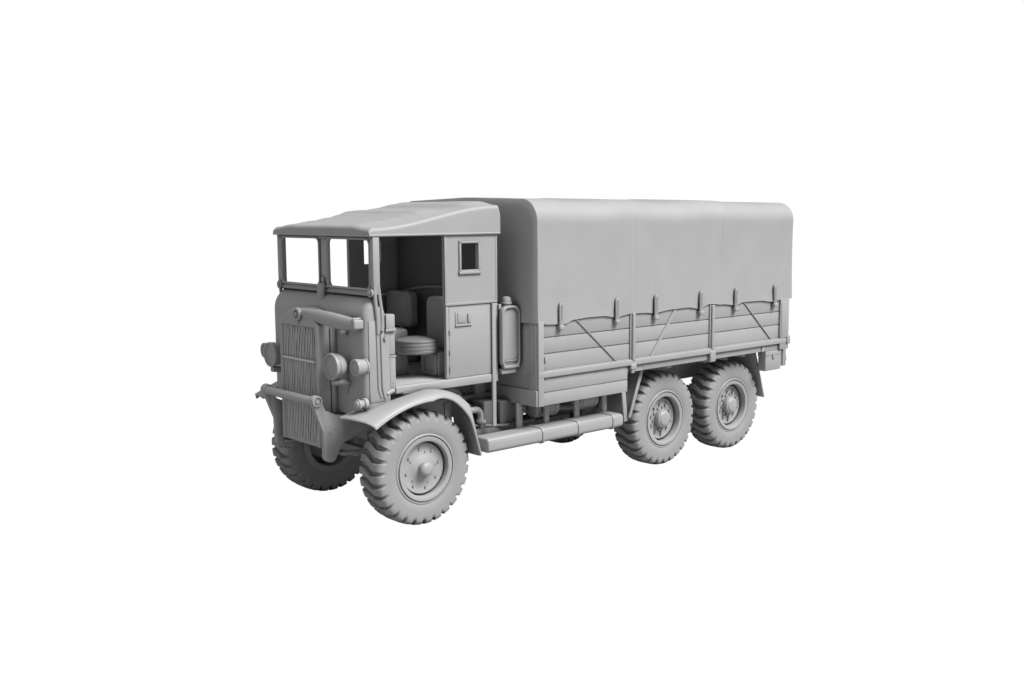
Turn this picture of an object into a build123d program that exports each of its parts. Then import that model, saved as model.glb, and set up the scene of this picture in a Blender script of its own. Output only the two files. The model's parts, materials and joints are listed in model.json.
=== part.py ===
from build123d import *
import math
import os

# Scale model of a six-wheeled forward-control cargo truck, in millimetres of the model.
# +X is forward, +Y is the vehicle's left, +Z is up. The origin is on the floor under the
# centre of the whole length. "rel" places are measured forward from the front axle.

# ---- overall stations along X ----
NOSE = 24.75               # front axle to the front of the bumper tube
TAIL = 161.4               # front axle back to the tow eye
FRONT_AXLE_X = (TAIL - NOSE) / 2
BOGIE_CENTRE = 114.95      # front axle back to the middle of the bogie
BOGIE_SPACING = 35.7
BODY_HALF_W = 32.3         # load body over rails, posts and tilt
MIDDLE_AXLE_X = FRONT_AXLE_X - BOGIE_CENTRE + BOGIE_SPACING / 2
REAR_AXLE_X = FRONT_AXLE_X - BOGIE_CENTRE - BOGIE_SPACING / 2

# ---- wheels and tyres ----
TYRE_R = 15.3
TYRE_HALF_W = 5.0
LUG_COUNT = 28
LUG_DEPTH = 1.1            # tread surface down to the bottom of a notch
LUG_END_Y = TYRE_HALF_W - 0.25  # where the lugs end at the shoulder
LUG_END_SCALE = 0.94       # tread radius at the shoulder against the middle
BULGE_R = 11.7             # widest place of the side wall
BEAD_INSET = 0.75          # bead narrower than the tyre on each side
FRONT_WHEEL_Y = 23.2       # centre plane of the front tyres
BOGIE_WHEEL_Y = 21.9
RIM_R = 9.0                # seat of the tyre on the rim
RIM_WALL = 1.7
RIM_INSET = 0.6            # rim narrower than the tyre on each side
FLANGE_H = 0.4
FLANGE_T = 0.45
DISC_T = 0.7
HUB_R = 2.4
BOSS_RING = 1.0            # raised ring round the hub
FRONT_DISC_Y = 2.4         # disc's inner face, from the tyre's centre plane
FRONT_HUB_END = 5.9
FRONT_CAP_R = 1.9
REAR_DISC_Y = 1.8
REAR_HUB_END = 5.0
REAR_CAP_R = 2.5
STUB_R = 0.9
STUB_REACH = 2.2           # depth of the stub axle's bore in the hub
STUB_GAP = 0.2             # stub end to the bottom of its bore
RUN_FIT = 0.05             # radial clearance of every pin in its hole
AXLE_Z = TYRE_R
RIM_HALF_W = TYRE_HALF_W - RIM_INSET
RIM_BORE_R = RIM_R - RIM_WALL

# ---- chassis frame ----
RAIL_IN = 10.0
RAIL_OUT = 12.0
RAIL_WALL = 0.7
RAIL_Z0 = 24.0
RAIL_Z1 = 29.5
RAIL_FRONT = 14.5          # rel
RAIL_REAR = -157.0         # rel
CROSS_W = 1.6
BOGIE_CROSS = 12.0         # middle of the bogie to the cross members before and behind it
HORN_T = 1.3               # thickness of the plates at the front of the frame
HORN_BULB_R = 1.9
HORN_WAIST = (3.6, 22.2)   # back from the spring eye, and height
HORN_BEND_Z = 26.0
TRUNNION_R = 1.4
BUMPER_R = 1.15
BUMPER_X = NOSE - BUMPER_R
BUMPER_Z = 34.1
TOW_EYE_R = 1.7
TOW_BORE_R = 0.8
TOW_EYE_T = 1.8
TOW_EYE_Z = 26.5
TOW_ARM_HALF_W = 1.2
LOW_CROSS_Z = RAIL_Z0 + 0.3
CROSS_MEMBERS = [  # rel x, lower edge
    (-31.0, RAIL_Z0 + 2.6),
    (-60.0, LOW_CROSS_Z),
    (-BOGIE_CENTRE + BOGIE_CROSS, LOW_CROSS_Z),
    (-BOGIE_CENTRE - BOGIE_CROSS, LOW_CROSS_Z),
    (RAIL_REAR + CROSS_W / 2, LOW_CROSS_Z),
]

# ---- steering and front axle ----
KINGPIN_Y = FRONT_WHEEL_Y - 1.8
KINGPIN_R = 0.7
BOSS_R = 1.5
BOSS_H = 3.0
FORK_GAP = 0.1
FORK_T = 0.9
BEAM_W = 2.4
BEAM_H = 2.0
DRUM_R = RIM_BORE_R - 1.3
DRUM_IN = 1.8              # kingpin axis out to the drum's inner face
DRUM_W = 2.0
DRUM_EDGE = 0.6
ARM_X = -4.0               # steering arm's pin, back from the axle
ARM_W = 1.1
TIE_PIN_R = 0.35
TIE_T = 0.9
TIE_GAP = 0.05
TIE_HALF_W = 0.45
TIE_EYE_R = 1.0

# ---- springs ----
LEAF_T = 0.5
LEAF_LAP = 0.02            # overlap that joins one leaf to the next
SPRING_W = 1.8
SPRING_OUT = RAIL_OUT - 0.2  # outer face of the front springs
FRONT_EYE = 19.6           # rel distance of the spring eyes
FRONT_EYE_Z = 19.6
HANGER_HALF_L = 1.2
CLAMP_HALF_L = 1.6
CLAMP_TOP = 19.0
FRONT_LEAVES = [  # half length, z at the middle, z at the ends
    (FRONT_EYE, 18.3, 19.4),
    (15.0, 17.8, 18.5),
    (11.0, 17.3, 17.7),
    (7.0, 16.8, 17.0),
]
BOGIE_SPRING_Y = 14.2
BOGIE_SPRING_W = 2.2
BOGIE_PAD_Z = 18.2
BOGIE_CLAMP_HALF_L = 2.2
BOGIE_CLAMP_Z = (20.4, 26.6)
BOGIE_LEAVES = [  # half length, z at the middle, z at the ends
    (BOGIE_SPACING / 2 + 1.0, 20.6, BOGIE_PAD_Z),
    (14.5, 21.1, 19.5),
    (11.5, 21.6, 20.6),
    (8.5, 22.1, 21.6),
    (5.5, 22.6, 22.4),
]

# ---- bogie axles and shafts ----
AXLE_TUBE_R = 1.9
DIFF_R = 4.6
DIFF_FLAT = 0.8            # width of the round casing against its height
REAR_DRUM_R = RIM_BORE_R - 1.1
REAR_DRUM_W = 2.7
REAR_DRUM_GAP = 0.4        # drum's outer face to the wheel disc
SHAFT_R = 0.9
SHAFT_RISE = 0.9           # shaft's end above the axle's centre
YOKE_R = 1.5
YOKE_HALF_L = 0.8
YOKE_SHARES = [0.03, 0.95]  # places of the yokes along the long shaft

# ---- engine, gearbox, exhaust ----
ENGINE_HALF_W = 5.0
ENGINE_FRONT = 10.0        # rel
ENGINE_BACK = -8.8         # rel
SUMP_HALF_W = 3.4
ENGINE_Z0 = 19.6
ENGINE_Z1 = 47.5
GEARBOX_BACK = -27.0       # rel
GEARBOX_Z = 24.5
GEARBOX_HALF = 3.2
EXHAUST_R = 0.95
EXHAUST_BEND = 2.0
EXHAUST_COLLAR = 0.5
EXHAUST_END = (-26.5, 18.5, 21.0)
EXHAUST_ROUTE = [  # rel x, y, z
    (-6.0, ENGINE_HALF_W, 32.2),
    (-6.0, 13.4, 32.2),
    (-21.5, 13.4, 32.2),
    (-21.5, 18.5, 26.6),
    (-26.5, 18.5, 26.6),
    EXHAUST_END,
]

# ---- cab ----
CAB_HALF_W = 23.6
CAB_WALL = 0.8
CAB_FRONT = 15.1           # rel, front panel
CAB_FRONT_BACK = 7.7       # rel, back edge of the cab front's side walls
CAB_REAR = -28.5           # rel, back of the rear wall
FRONT_Z0 = 34.5
SCUTTLE_Z = 61.4
SCUTTLE_R = 5.0
SCUTTLE_BACK_TOP = 10.6    # rel, back edge of the scuttle at its top
SCUTTLE_BACK_LOW = 9.0     # rel, the same edge above the door pillar
PILLAR_W = 1.9
PILLAR_IN = 1.6
PILLAR_TOP = 56.4
PILLAR_BOX = (6.0, 9.5)    # rel, the box at the top of the pillar
PILLAR_BOX_Z0 = 52.3
PILLAR_BOX_PROUD = 0.5
FLOOR_Z0 = 35.4
FLOOR_Z1 = 36.6
SILL_Z1 = 37.4
SILL_T = 0.3
SILL_TIP = 9.1             # rel, foremost point of the sill
CAB_FEET = [9.0, -20.0]    # rel
CAB_FOOT_HALF_L = 1.2
WAIST_Z = 57.1
SIDE_FRONT_LOW = -10.7     # rel, front edge of the side panel at the sill
SIDE_FRONT_HIGH = -10.2
WINDOW_FRONT = -15.6
WINDOW_BACK = -21.7
WINDOW_Z0 = 66.6
WINDOW_Z1 = 73.9
WINDOW_RIM = 0.8
WINDOW_RIM_PROUD = 0.25
REAR_POST_W = 1.4
REAR_POST_T = 0.5
REAR_POST_Z0 = 22.4
REAR_ARCH_Z = 60.4
REAR_SHEET_T = 0.6
COVER_HALF_W = 7.6
COVER_TOP = 50.0
COVER_FRONT = 11.0
COVER_BACK = -9.8
COVER_WALL = 0.8
COVER_EDGE_R = 1.5

# ---- cab roof and windscreen ----
ROOF_Z = 76.1              # lower edge of the roof
ROOF_HALF_W = CAB_HALF_W + 0.8
ROOF_FRONT = 13.7          # rel
ROOF_BACK = -29.3          # rel
ROOF_FRONT_H = 2.3
ROOF_BACK_H = 7.9
ROOF_WALL = 0.7
ROOF_FLANGE_H = 1.2
ROOF_FLANGE_T = 0.6
ROOF_EDGE_R = 1.5
SCREEN_X = 12.2            # rel, front of the windscreen
SCREEN_T = 1.0
SCREEN_HALF_W = CAB_HALF_W - 0.4
SCREEN_RIM = 0.6
SCREEN_RIM_PROUD = 0.35
SCREEN_POST_PROUD = 0.7
SCREEN_FOOT_Z = 54.6
PANE_IN = 2.52
PANE_OUT = SCREEN_HALF_W - 1.79
PANE_Z0 = 63.05
PANE_Z1 = ROOF_Z - 0.9

# ---- seats and steering wheel ----
SEATS = [  # rel x and y of the cushion's centre, rel x of the backrest, its lower edge, its half width
    (-7.6, 14.2, -17.0, 42.0, 6.2),
    (-14.0, -15.0, -22.4, 48.7, 5.1),
]
CUSHION_R = 6.2
SEAT_Z = 44.1
CUSHION_T = 3.9
CUSHION_EDGE_R = 1.2
PEDESTAL_FRONT = 4.4       # cushion's centre back to the pedestal's front
PEDESTAL_L = 8.0
PEDESTAL_HALF_W = 4.2
BACKREST_T = 2.4
BACKREST_TOP = 58.5
BACKREST_R = 3.0
STEERING_TOP = (0.0, -15.0, 54.5)
COLUMN_FOOT = (9.0, -15.0, FLOOR_Z1 + 0.35)
COLUMN_R = 0.6
STEERING_R = 4.8
STEERING_RIM_R = 0.45
SPOKE_ANGLES = [0, 60, 120]

# ---- radiator ----
SHELL_HALF_W = 10.0
SHELL_FRONT = 20.7
SHELL_Z0 = 21.6
SHELL_SHOULDER_Z = 53.0
SHELL_TOP_Z = 56.6
SHELL_EDGE_R = 0.9
CAP_R = 1.3
CAP_COLLAR_R = 1.7
GRILLE_HALF_W = 8.07
GRILLE_Z0 = 22.75
GRILLE_Z1 = 52.3
GRILLE_SET_BACK = 0.7
SLAT_COUNT = 21
SLAT_W = 0.34
SLAT_D = 0.8
CORE_T = 2.5
GRILLE_BAR_Z = 43.6
GRILLE_BAR_H = 0.5
GRILLE_BAR_PROUD = 0.25
BLIND_SECTIONS = [  # rel x, y, z, depth, height
    (SHELL_FRONT + 0.2, 5.5, 56.25, 0.9, 1.2),
    (CAB_FRONT + 4.0, 14.0, 55.0, 1.8, 3.0),
    (CAB_FRONT + 1.9, 22.3, 54.2, 1.8, 3.0),
]
BLIND_CLIP_Z = (51.6, 56.0)
BLIND_STRAP_Y = (15.6, 17.4)
BLIND_STRAP_Z = (52.4, 53.4)

# ---- lamps ----
LAMPS = [  # front rel x, y, z, front radius, back radius, length
    (20.8, 15.9, 43.3, 3.5, 1.8, 4.0),
    (18.3, 23.4, 43.5, 2.3, 1.9, 3.2),
]
SMALL_LAMP = (18.4, 23.5, 34.2, 1.4, 1.1, 2.8)
LAMP_WALL = 0.45
LAMP_NECK_R = 0.5
LAMP_FOOT_R = 0.9
LAMP_FOOT_Z = 39.0
LAMP_NECK_BACK = 1.9       # lamp's front back to the neck

# ---- front mudguards ----
GUARD_T = 0.5
GUARD_FRONT_VIA = 9.0      # rel, station between tip and crown
GUARD_BACK_VIA = -9.0      # rel, station between crown and hip
GUARD_SECTIONS = [  # y, z at the two stations, then rel x and z of the tip, the crown, the hip, the foot
    (20.0, 33.7, 34.7, (22.6, 31.3), (-3.0, 35.6), (-14.6, 32.6), (-17.3, 16.5)),
    (24.0, 33.8, 34.8, (22.4, 31.4), (-3.0, 35.7), (-14.6, 32.6), (-17.3, 16.5)),
    (29.3, 34.2, 34.1, (19.4, 30.8), (-0.5, 35.9), (-14.2, 30.4), (-17.3, 16.5)),
    (31.0, 32.7, 31.9, (18.1, 29.4), (-0.5, 34.1), (-12.4, 28.3), (-16.3, 17.0)),
]
GUARD_TOP_UNDER_CAB = 31.5

# ---- rear mudguard flaps ----
FLAP_T = 0.6
FLAP_IN = 14.5
FRONT_FLAP = [(-85.6, 36.0), (-78.7, 18.6)]
FRONT_FLAP_OUT = BODY_HALF_W - 4.3
REAR_FLAP = [(-143.0, 36.0), (-149.9, 16.2)]
REAR_FLAP_OUT = BODY_HALF_W - 4.9
REAR_STAY_OUT = REAR_FLAP_OUT - 1.5
STAY_W = 0.7
BRACE = [(-79.9, 36.0), (-78.6, 36.0), (-76.6, 18.0), (-77.6, 18.0)]
BRACE_Y = (25.6, 26.4)
BRACE_TIE_X = (-79.2, -77.2)
BRACE_TIE_Z = (18.6, 20.2)

# ---- load body ----
BODY_FRONT = -36.2
BODY_REAR = -157.0
RAIL_PROUD = 0.6           # body rail and posts beyond the planks
SIDE_OUT = BODY_HALF_W - RAIL_PROUD
SIDE_T = 1.2
DECK_Z0 = 36.0
DECK_Z1 = 37.2
SIDE_TOP = 54.0
RAIL_LOW = 36.0            # body side rail
RAIL_HIGH = 38.1
POST_W = 1.9
MID_POST_W = 1.5
MID_POST_PROUD = 0.8
REAR_POST_L = 4.7
BODY_POSTS = [-75.0, -114.0]
LOW_PANEL_Z0 = 27.7
LOW_PANEL_BACK = -73.3
LOCKER_IN = 14.0
STRIP_Z0 = 33.6
STRIP_FRONT = -80.5
BOARD_T = 1.0
RIB_T = 0.6
RIB_HALF_W = 0.6
RIB_SPACING = (SIDE_OUT - 1.7) / 3
RIB_COUNT = 7
HINGE_ROWS = [-20.0, 0.0, 20.0]
HINGE_T = 0.5
HINGE_HALF_W = 0.8
BEARER_H = 3.5
BEARER_W = 2.0
BEARER_SHORT = 1.7         # bearers shorter than the planks' outer face
BEARERS = [  # rel x, half length
    (-42.0, LOCKER_IN),
    (-58.0, LOCKER_IN),
    (-74.7, SIDE_OUT - BEARER_SHORT),
    (-95.0, SIDE_OUT - BEARER_SHORT),
    (-114.0, SIDE_OUT - BEARER_SHORT),
    (-134.0, SIDE_OUT - BEARER_SHORT),
    (-153.0, SIDE_OUT - 2 * BEARER_SHORT),
]
TAIL_BOX_X = (-153.5, -144.5)
TAIL_BOX_W = 3.2
TAIL_BOX_Z0 = 26.5

# ---- tilt and hoops ----
TILT_FRONT = -35.5
TILT_REAR = -159.1
TILT_Z0 = 51.2
TILT_TOP = 86.0
TILT_EAVE = 85.3
TILT_WALL = 0.6
TILT_CORNER_R = 6.5
REAR_GATE_HALF_W = 24.0    # open back of the tilt
REAR_GATE_H = 22.0
REAR_GATE_R = 3.0
HOOP_R = 0.55
HOOP_CLEAR = 0.15
HOOPS = [-40.5, -68.0, -96.0, -124.0, -153.0]
BATTENS = [-16.0, 0.0, 16.0]
BATTEN_R = 0.45
BATTEN_END = 1.0

# ---- running boards, reservoirs, tank, tail lamps ----
STEP_IN = 24.0
STEP_OUT = 30.0
STEP_Z0 = 17.4
STEP_Z1 = 20.9
STEP_FRONT = -18.0
STEP_BACK = -72.0
STEP_EDGE_R = 1.2
BOARD_HANGERS = [-38.3, -47.5, -60.0, -70.5]
HANGER_W = 1.8
HANGER_T = 0.9
BOARD_BANDS = [-38.5, -51.5, -65.0]
BAND_W = 1.0
BAND_PROUD = 0.25
RESERVOIRS = [  # front rel x, back rel x, y, radius
    (-44.0, -53.5, 20.5, 2.7),
    (-61.0, -69.5, 21.5, 2.4),
]
RESERVOIR_DROP = 0.3
STRAP_INSET = 2.0
STRAP_HALF_W = 0.5
TANK_FRONT = -29.0
TANK_BACK = -35.2
TANK_OUT = 25.5
TANK_IN = 3.0
TANK_Z0 = 38.5
TANK_Z1 = 57.1
TANK_R = 2.4
TANK_RIM_W = 1.0
TANK_RIM_PROUD = 0.3
FILLER_R = 1.5
FILLER_H = 1.8
FILLER_IN = 3.0
SHELF_T = 1.5
LAMP_ARM_Y = (26.4, 27.6)
LAMP_PLATE_Y = (26.4, 30.0)
LAMP_PLATE_X = (-159.4, -158.2)
LAMP_PLATE_Z0 = 27.0
TAIL_LAMP = (-160.3, 28.2, 29.5)
TAIL_LAMP_R = 1.3


def at_rel(rel):
    """Station in X of a place measured forward from the front axle."""
    return FRONT_AXLE_X + rel


def block(x, y, z):
    """Block between the low and high value of each axis."""
    size = Box(abs(x[1] - x[0]), abs(y[1] - y[0]), abs(z[1] - z[0]))
    return Pos((x[0] + x[1]) / 2, (y[0] + y[1]) / 2, (z[0] + z[1]) / 2) * size


def rel_block(x, y, z):
    """Block whose X values are measured from the front axle."""
    return block((at_rel(x[0]), at_rel(x[1])), y, z)


def rel_block_at(rel, half_length, y, z):
    """Block that reaches the same distance before and behind a rel X value."""
    return rel_block((rel - half_length, rel + half_length), y, z)


def side_plane(rel, y, z):
    """Plane facing the right side, its first axis forward and its second one up."""
    return Plane(origin=(at_rel(rel), y, z), x_dir=(1, 0, 0), z_dir=(0, -1, 0))


def side_plate(points, y0, y1):
    """Plate whose outline is given as (rel x, z), between two Y values."""
    return extrude(side_plane(0, y1, 0) * Polygon(*points, align=None), y1 - y0, dir=(0, -1, 0))


def front_plane(rel):
    """Plane facing forward at a rel X value, its first axis to the left and its second one up."""
    return Plane(origin=(at_rel(rel), 0, 0), x_dir=(0, 1, 0), z_dir=(1, 0, 0))


def front_plate(outline, x0, x1):
    """Sketch drawn in (y, z), made solid between two rel X values."""
    return extrude(front_plane(x0) * outline, x1 - x0, dir=(1, 0, 0))


def bar(start, end, radius):
    """Round bar between two (rel x, y, z) points."""
    first = Vector(at_rel(start[0]), start[1], start[2])
    last = Vector(at_rel(end[0]), end[1], end[2])
    seat = Plane(origin=first, z_dir=last - first)
    stock = Cylinder(radius, (last - first).length, align=(Align.CENTER, Align.CENTER, Align.MIN))
    return seat * stock


def drum_y(radius, y0, y1, x, z):
    """Cylinder along Y at a rel X and height."""
    return bar((x, y0, z), (x, y1, z), radius)


def turned(points):
    """Solid of revolution about Y from (radius, y) points."""
    return revolve(Plane.XY * Polygon(*points, align=None), Axis.Y)


def pair(shape):
    """A shape and its mirror image on the other side of the centre line."""
    return Part() + [shape, mirror(shape, Plane.XZ)]


# ---------------------------------------------------------------- wheels

def ring(count, radius, y, turn=0.0):
    """Corners of a regular polygon about Y."""
    angles = [turn + 2 * math.pi * number / count for number in range(count)]
    return [Vector(radius * math.sin(angle), y, -radius * math.cos(angle)) for angle in angles]


def tread_ring(y, scale_down, turn):
    """Corners of the toothed outline: both corners of each lug's top, then the bottom of the notch."""
    pitch = 2 * math.pi / LUG_COUNT
    top = TYRE_R * scale_down / math.cos(pitch / 4)
    starts = ring(LUG_COUNT, top, y, turn - pitch / 4)
    ends = ring(LUG_COUNT, top, y, turn + pitch / 4)
    notches = ring(LUG_COUNT, (TYRE_R - LUG_DEPTH) * scale_down, y, turn + pitch / 2)
    return [corner for lug in zip(starts, ends, notches) for corner in lug]


def flat_face(corners):
    """Flat face through its corners."""
    return Face(Wire.make_polygon(corners, close=True))


def band(first, second):
    """Flat faces between two rings with the same number of corners."""
    faces = []
    for number in range(len(first)):
        after = (number + 1) % len(first)
        faces.append(flat_face([first[number], first[after], second[after], second[number]]))
    return faces


def make_tyre():
    """Tyre about its own centre, in flat faces: two rows of lugs half a pitch apart, side walls, bore."""
    half_pitch = math.pi / LUG_COUNT
    faces = []
    for side, turn in ((1, 0.0), (-1, half_pitch)):
        middle = tread_ring(0.0, 1.0, turn)
        shoulder = tread_ring(side * LUG_END_Y, LUG_END_SCALE, turn)
        foot_r = (TYRE_R - LUG_DEPTH) * LUG_END_SCALE - 0.3
        foot = ring(LUG_COUNT, foot_r, side * LUG_END_Y)
        bulge = ring(LUG_COUNT, BULGE_R, side * TYRE_HALF_W)
        bead = ring(LUG_COUNT, RIM_R / math.cos(half_pitch), side * (TYRE_HALF_W - BEAD_INSET))
        faces += band(middle, shoulder) + band(foot, bulge) + band(bulge, bead)
        faces.append(Face(Wire.make_polygon(shoulder, close=True), [Wire.make_polygon(foot, close=True)]))
        for number in range(LUG_COUNT):
            after = (3 * number + 3) % len(middle)
            faces.append(flat_face([middle[3 * number + 1], middle[3 * number + 2], middle[after]]))
        if side > 0:
            outer_bead = bead
    return Solid(Shell(faces + band(outer_bead, bead)))


def make_wheel(disc_y, hub_end, cap_r):
    """Pressed wheel about its own centre, outer side towards +Y, bored for the stub axle."""
    edge = RIM_HALF_W + FLANGE_T
    flange_r = RIM_R + FLANGE_H
    rim = turned([
        (RIM_BORE_R, -edge),
        (flange_r, -edge),
        (flange_r, -RIM_HALF_W),
        (RIM_R, -RIM_HALF_W),
        (RIM_R, RIM_HALF_W),
        (flange_r, RIM_HALF_W),
        (flange_r, edge),
        (RIM_BORE_R, edge),
    ])
    face = disc_y + DISC_T
    disc = turned([(0, disc_y), (RIM_BORE_R, disc_y), (RIM_BORE_R, face), (0, face)])
    hub = turned([
        (0, disc_y),
        (HUB_R + BOSS_RING, disc_y),
        (HUB_R + BOSS_RING, face + 0.6),
        (HUB_R, face + 0.9),
        (cap_r, hub_end - 0.8),
        (cap_r - 0.7, hub_end),
        (0, hub_end),
    ])
    bore_r = STUB_R + RUN_FIT
    bore_end = disc_y + STUB_REACH
    bore = turned([(0, disc_y - 1), (bore_r, disc_y - 1), (bore_r, bore_end), (0, bore_end)])
    return rim + disc + hub - bore


def placed(shape, x, y, side):
    """Put a wheel or tyre made for the left side at an axle, turned round on the right."""
    if side < 0:
        shape = mirror(shape, Plane.XZ)
    return Pos(x, side * y, AXLE_Z) * shape


# ---------------------------------------------------------------- chassis

def horn():
    """Left front horn: bolted head for the bumper, flared plate, and the bulb that holds the spring."""
    outline = [
        (BUMPER_X - 1.4, BUMPER_Z + 0.4),
        (BUMPER_X + 1.0, BUMPER_Z - 0.6),
        (BUMPER_X - 2.0, HORN_BEND_Z),
        (FRONT_EYE + 1.8, FRONT_EYE_Z),
        (FRONT_EYE - 1.4, FRONT_EYE_Z - 1.2),
        (FRONT_EYE - HORN_WAIST[0], HORN_WAIST[1]),
        (RAIL_FRONT - 3.5, RAIL_Z0 + 0.2),
        (RAIL_FRONT - 3.5, RAIL_Z1),
        (RAIL_FRONT + 3.0, RAIL_Z1 + 0.4),
        (BUMPER_X - 2.6, BUMPER_Z - 2.5),
    ]
    outer = RAIL_OUT + HORN_T
    plate = side_plate(outline, RAIL_OUT, outer)
    head = drum_y(BUMPER_R + 0.3, RAIL_OUT, outer + 0.3, BUMPER_X - 0.3, BUMPER_Z)
    bulb = drum_y(HORN_BULB_R, SPRING_OUT, outer, FRONT_EYE, FRONT_EYE_Z)
    return plate + head + bulb


def make_chassis():
    """Two channel rails with front horns and spring brackets."""
    rail = rel_block((RAIL_REAR, RAIL_FRONT), (RAIL_IN, RAIL_OUT), (RAIL_Z0, RAIL_Z1))
    hollow = rel_block(
        (RAIL_REAR - 1, RAIL_FRONT + 1),
        (RAIL_IN - 1, RAIL_OUT - RAIL_WALL),
        (RAIL_Z0 + RAIL_WALL, RAIL_Z1 - RAIL_WALL),
    )
    hanger = rel_block_at(
        -FRONT_EYE,
        HANGER_HALF_L,
        (SPRING_OUT, RAIL_OUT + 0.5),
        (FRONT_EYE_Z - 1.4, RAIL_Z1 - 1),
    )
    return pair(rail - hollow + horn() + hanger)


def make_cross_members(rails):
    """Cross members between the rails, the bogie's trunnion tube, and the towing eye on the last one."""
    reach = RAIL_OUT - RAIL_WALL / 2
    members = Part()
    for rel, low in CROSS_MEMBERS:
        members += rel_block_at(rel, CROSS_W / 2, (-reach, reach), (low, RAIL_Z1 - RAIL_WALL))
    members += drum_y(TRUNNION_R, -RAIL_OUT, RAIL_OUT, -BOGIE_CENTRE, RAIL_Z0 + 0.4)
    eye_x = -TAIL + TOW_EYE_R
    half_t = TOW_EYE_T / 2
    arm = rel_block(
        (eye_x, RAIL_REAR + 1),
        (-TOW_ARM_HALF_W, TOW_ARM_HALF_W),
        (TOW_EYE_Z - half_t, TOW_EYE_Z + half_t),
    )
    eye_place = Pos(at_rel(eye_x), 0, TOW_EYE_Z)
    eye = eye_place * Cylinder(TOW_EYE_R, TOW_EYE_T)
    bore = eye_place * Cylinder(TOW_BORE_R, TOW_EYE_T + 1)
    return members + arm + eye - bore - rails


def make_bumper():
    """Round bumper tube between the horns."""
    return drum_y(BUMPER_R, -RAIL_OUT, RAIL_OUT, BUMPER_X, BUMPER_Z)


def leaf(length, z_mid, z_end, y0, y1):
    """One curved leaf centred on the front axle's station, ends at z_end."""
    lower = ThreePointArc((-length, z_end), (0, z_mid), (length, z_end))
    upper = ThreePointArc((length, z_end + LEAF_T), (0, z_mid + LEAF_T), (-length, z_end + LEAF_T))
    outline = Wire([lower, Line(lower @ 1, upper @ 0), upper, Line(upper @ 1, lower @ 0)])
    plane = Plane(origin=(0, y1, 0), x_dir=(1, 0, 0), z_dir=(0, -1, 0))
    return extrude(plane * make_face(outline), y1 - y0, dir=(0, -1, 0))


def leaf_stack(leaves, y0, y1):
    """Leaves of one spring, each lapping the next a little."""
    stack = Part()
    for half_length, z_mid, z_end in leaves:
        stack += leaf(half_length, z_mid - LEAF_LAP, z_end - LEAF_LAP, y0, y1)
    return stack


def make_front_springs():
    """Leaf springs under the rails, clamped on the front axle beam."""
    low = SPRING_OUT - SPRING_W
    clamp = block((-CLAMP_HALF_L, CLAMP_HALF_L), (low, SPRING_OUT), (AXLE_Z + BEAM_H / 2, CLAMP_TOP))
    return pair(Pos(FRONT_AXLE_X, 0, 0) * (leaf_stack(FRONT_LEAVES, low, SPRING_OUT) + clamp))


def make_bogie_springs():
    """Leaf springs that rock beside the rails and rest on both bogie axles."""
    low = BOGIE_SPRING_Y - BOGIE_SPRING_W / 2
    high = BOGIE_SPRING_Y + BOGIE_SPRING_W / 2
    clamp = block((-BOGIE_CLAMP_HALF_L, BOGIE_CLAMP_HALF_L), (RAIL_OUT, high), BOGIE_CLAMP_Z)
    return pair(Pos(at_rel(-BOGIE_CENTRE), 0, 0) * (leaf_stack(BOGIE_LEAVES, low, high) + clamp))


def make_front_axle():
    """Beam between the two kingpin bosses, bored for the pins."""
    beam = block((-BEAM_W / 2, BEAM_W / 2), (-KINGPIN_Y, KINGPIN_Y), (-BEAM_H / 2, BEAM_H / 2))
    bosses = pair(Pos(0, KINGPIN_Y, 0) * Cylinder(BOSS_R, BOSS_H))
    bores = pair(Pos(0, KINGPIN_Y, 0) * Cylinder(KINGPIN_R + RUN_FIT, BOSS_H + 1))
    return Pos(FRONT_AXLE_X, 0, AXLE_Z) * (beam + bosses - bores)


def make_knuckle(side):
    """Fork, kingpin, brake drum, stub axle and steering arm of one front wheel."""
    fork_in = BOSS_H / 2 + FORK_GAP
    fork_out = fork_in + FORK_T
    drum_out = DRUM_IN + DRUM_W
    lugs = Part()
    for low in (fork_in, -fork_out):
        lugs += Pos(0, 0, low + FORK_T / 2) * Cylinder(BOSS_R, FORK_T)
        lugs += block((-BOSS_R, BOSS_R), (0, DRUM_IN + 0.4), (low, low + FORK_T))
    pin = Cylinder(KINGPIN_R, 2 * fork_out)
    drum = turned([
        (0, DRUM_IN),
        (DRUM_R - DRUM_EDGE, DRUM_IN),
        (DRUM_R, DRUM_IN + DRUM_EDGE),
        (DRUM_R, drum_out),
        (0, drum_out),
    ])
    stub_end = FRONT_WHEEL_Y - KINGPIN_Y + FRONT_DISC_Y + STUB_REACH - STUB_GAP
    stub = turned([(0, DRUM_IN + 0.4), (STUB_R, DRUM_IN + 0.4), (STUB_R, stub_end), (0, stub_end)])
    link = SlotCenterToCenter(abs(ARM_X), ARM_W)
    arm = Pos(ARM_X / 2, 0, -fork_out) * extrude(link, FORK_T)
    tie_pin = Pos(ARM_X, 0, -fork_out - TIE_T) * Cylinder(
        TIE_PIN_R, TIE_T + 0.2, align=(Align.CENTER, Align.CENTER, Align.MIN)
    )
    knuckle = lugs + pin + drum + stub + arm + tie_pin
    if side < 0:
        knuckle = mirror(knuckle, Plane.XZ)
    return Pos(FRONT_AXLE_X, side * KINGPIN_Y, AXLE_Z) * knuckle


def make_tie_rod():
    """Rod between the two steering arms, an eye on each arm's pin."""
    top = AXLE_Z - (BOSS_H / 2 + FORK_GAP + FORK_T) - TIE_GAP
    low = top - TIE_T + 2 * TIE_GAP
    rod = rel_block_at(ARM_X, TIE_HALF_W, (-KINGPIN_Y, KINGPIN_Y), (low, top))
    place = Pos(at_rel(ARM_X), KINGPIN_Y, (low + top) / 2)
    eyes = pair(place * Cylinder(TIE_EYE_R, top - low))
    holes = pair(place * Cylinder(TIE_PIN_R + RUN_FIT, TIE_T + 1))
    return rod + eyes - holes


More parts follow.
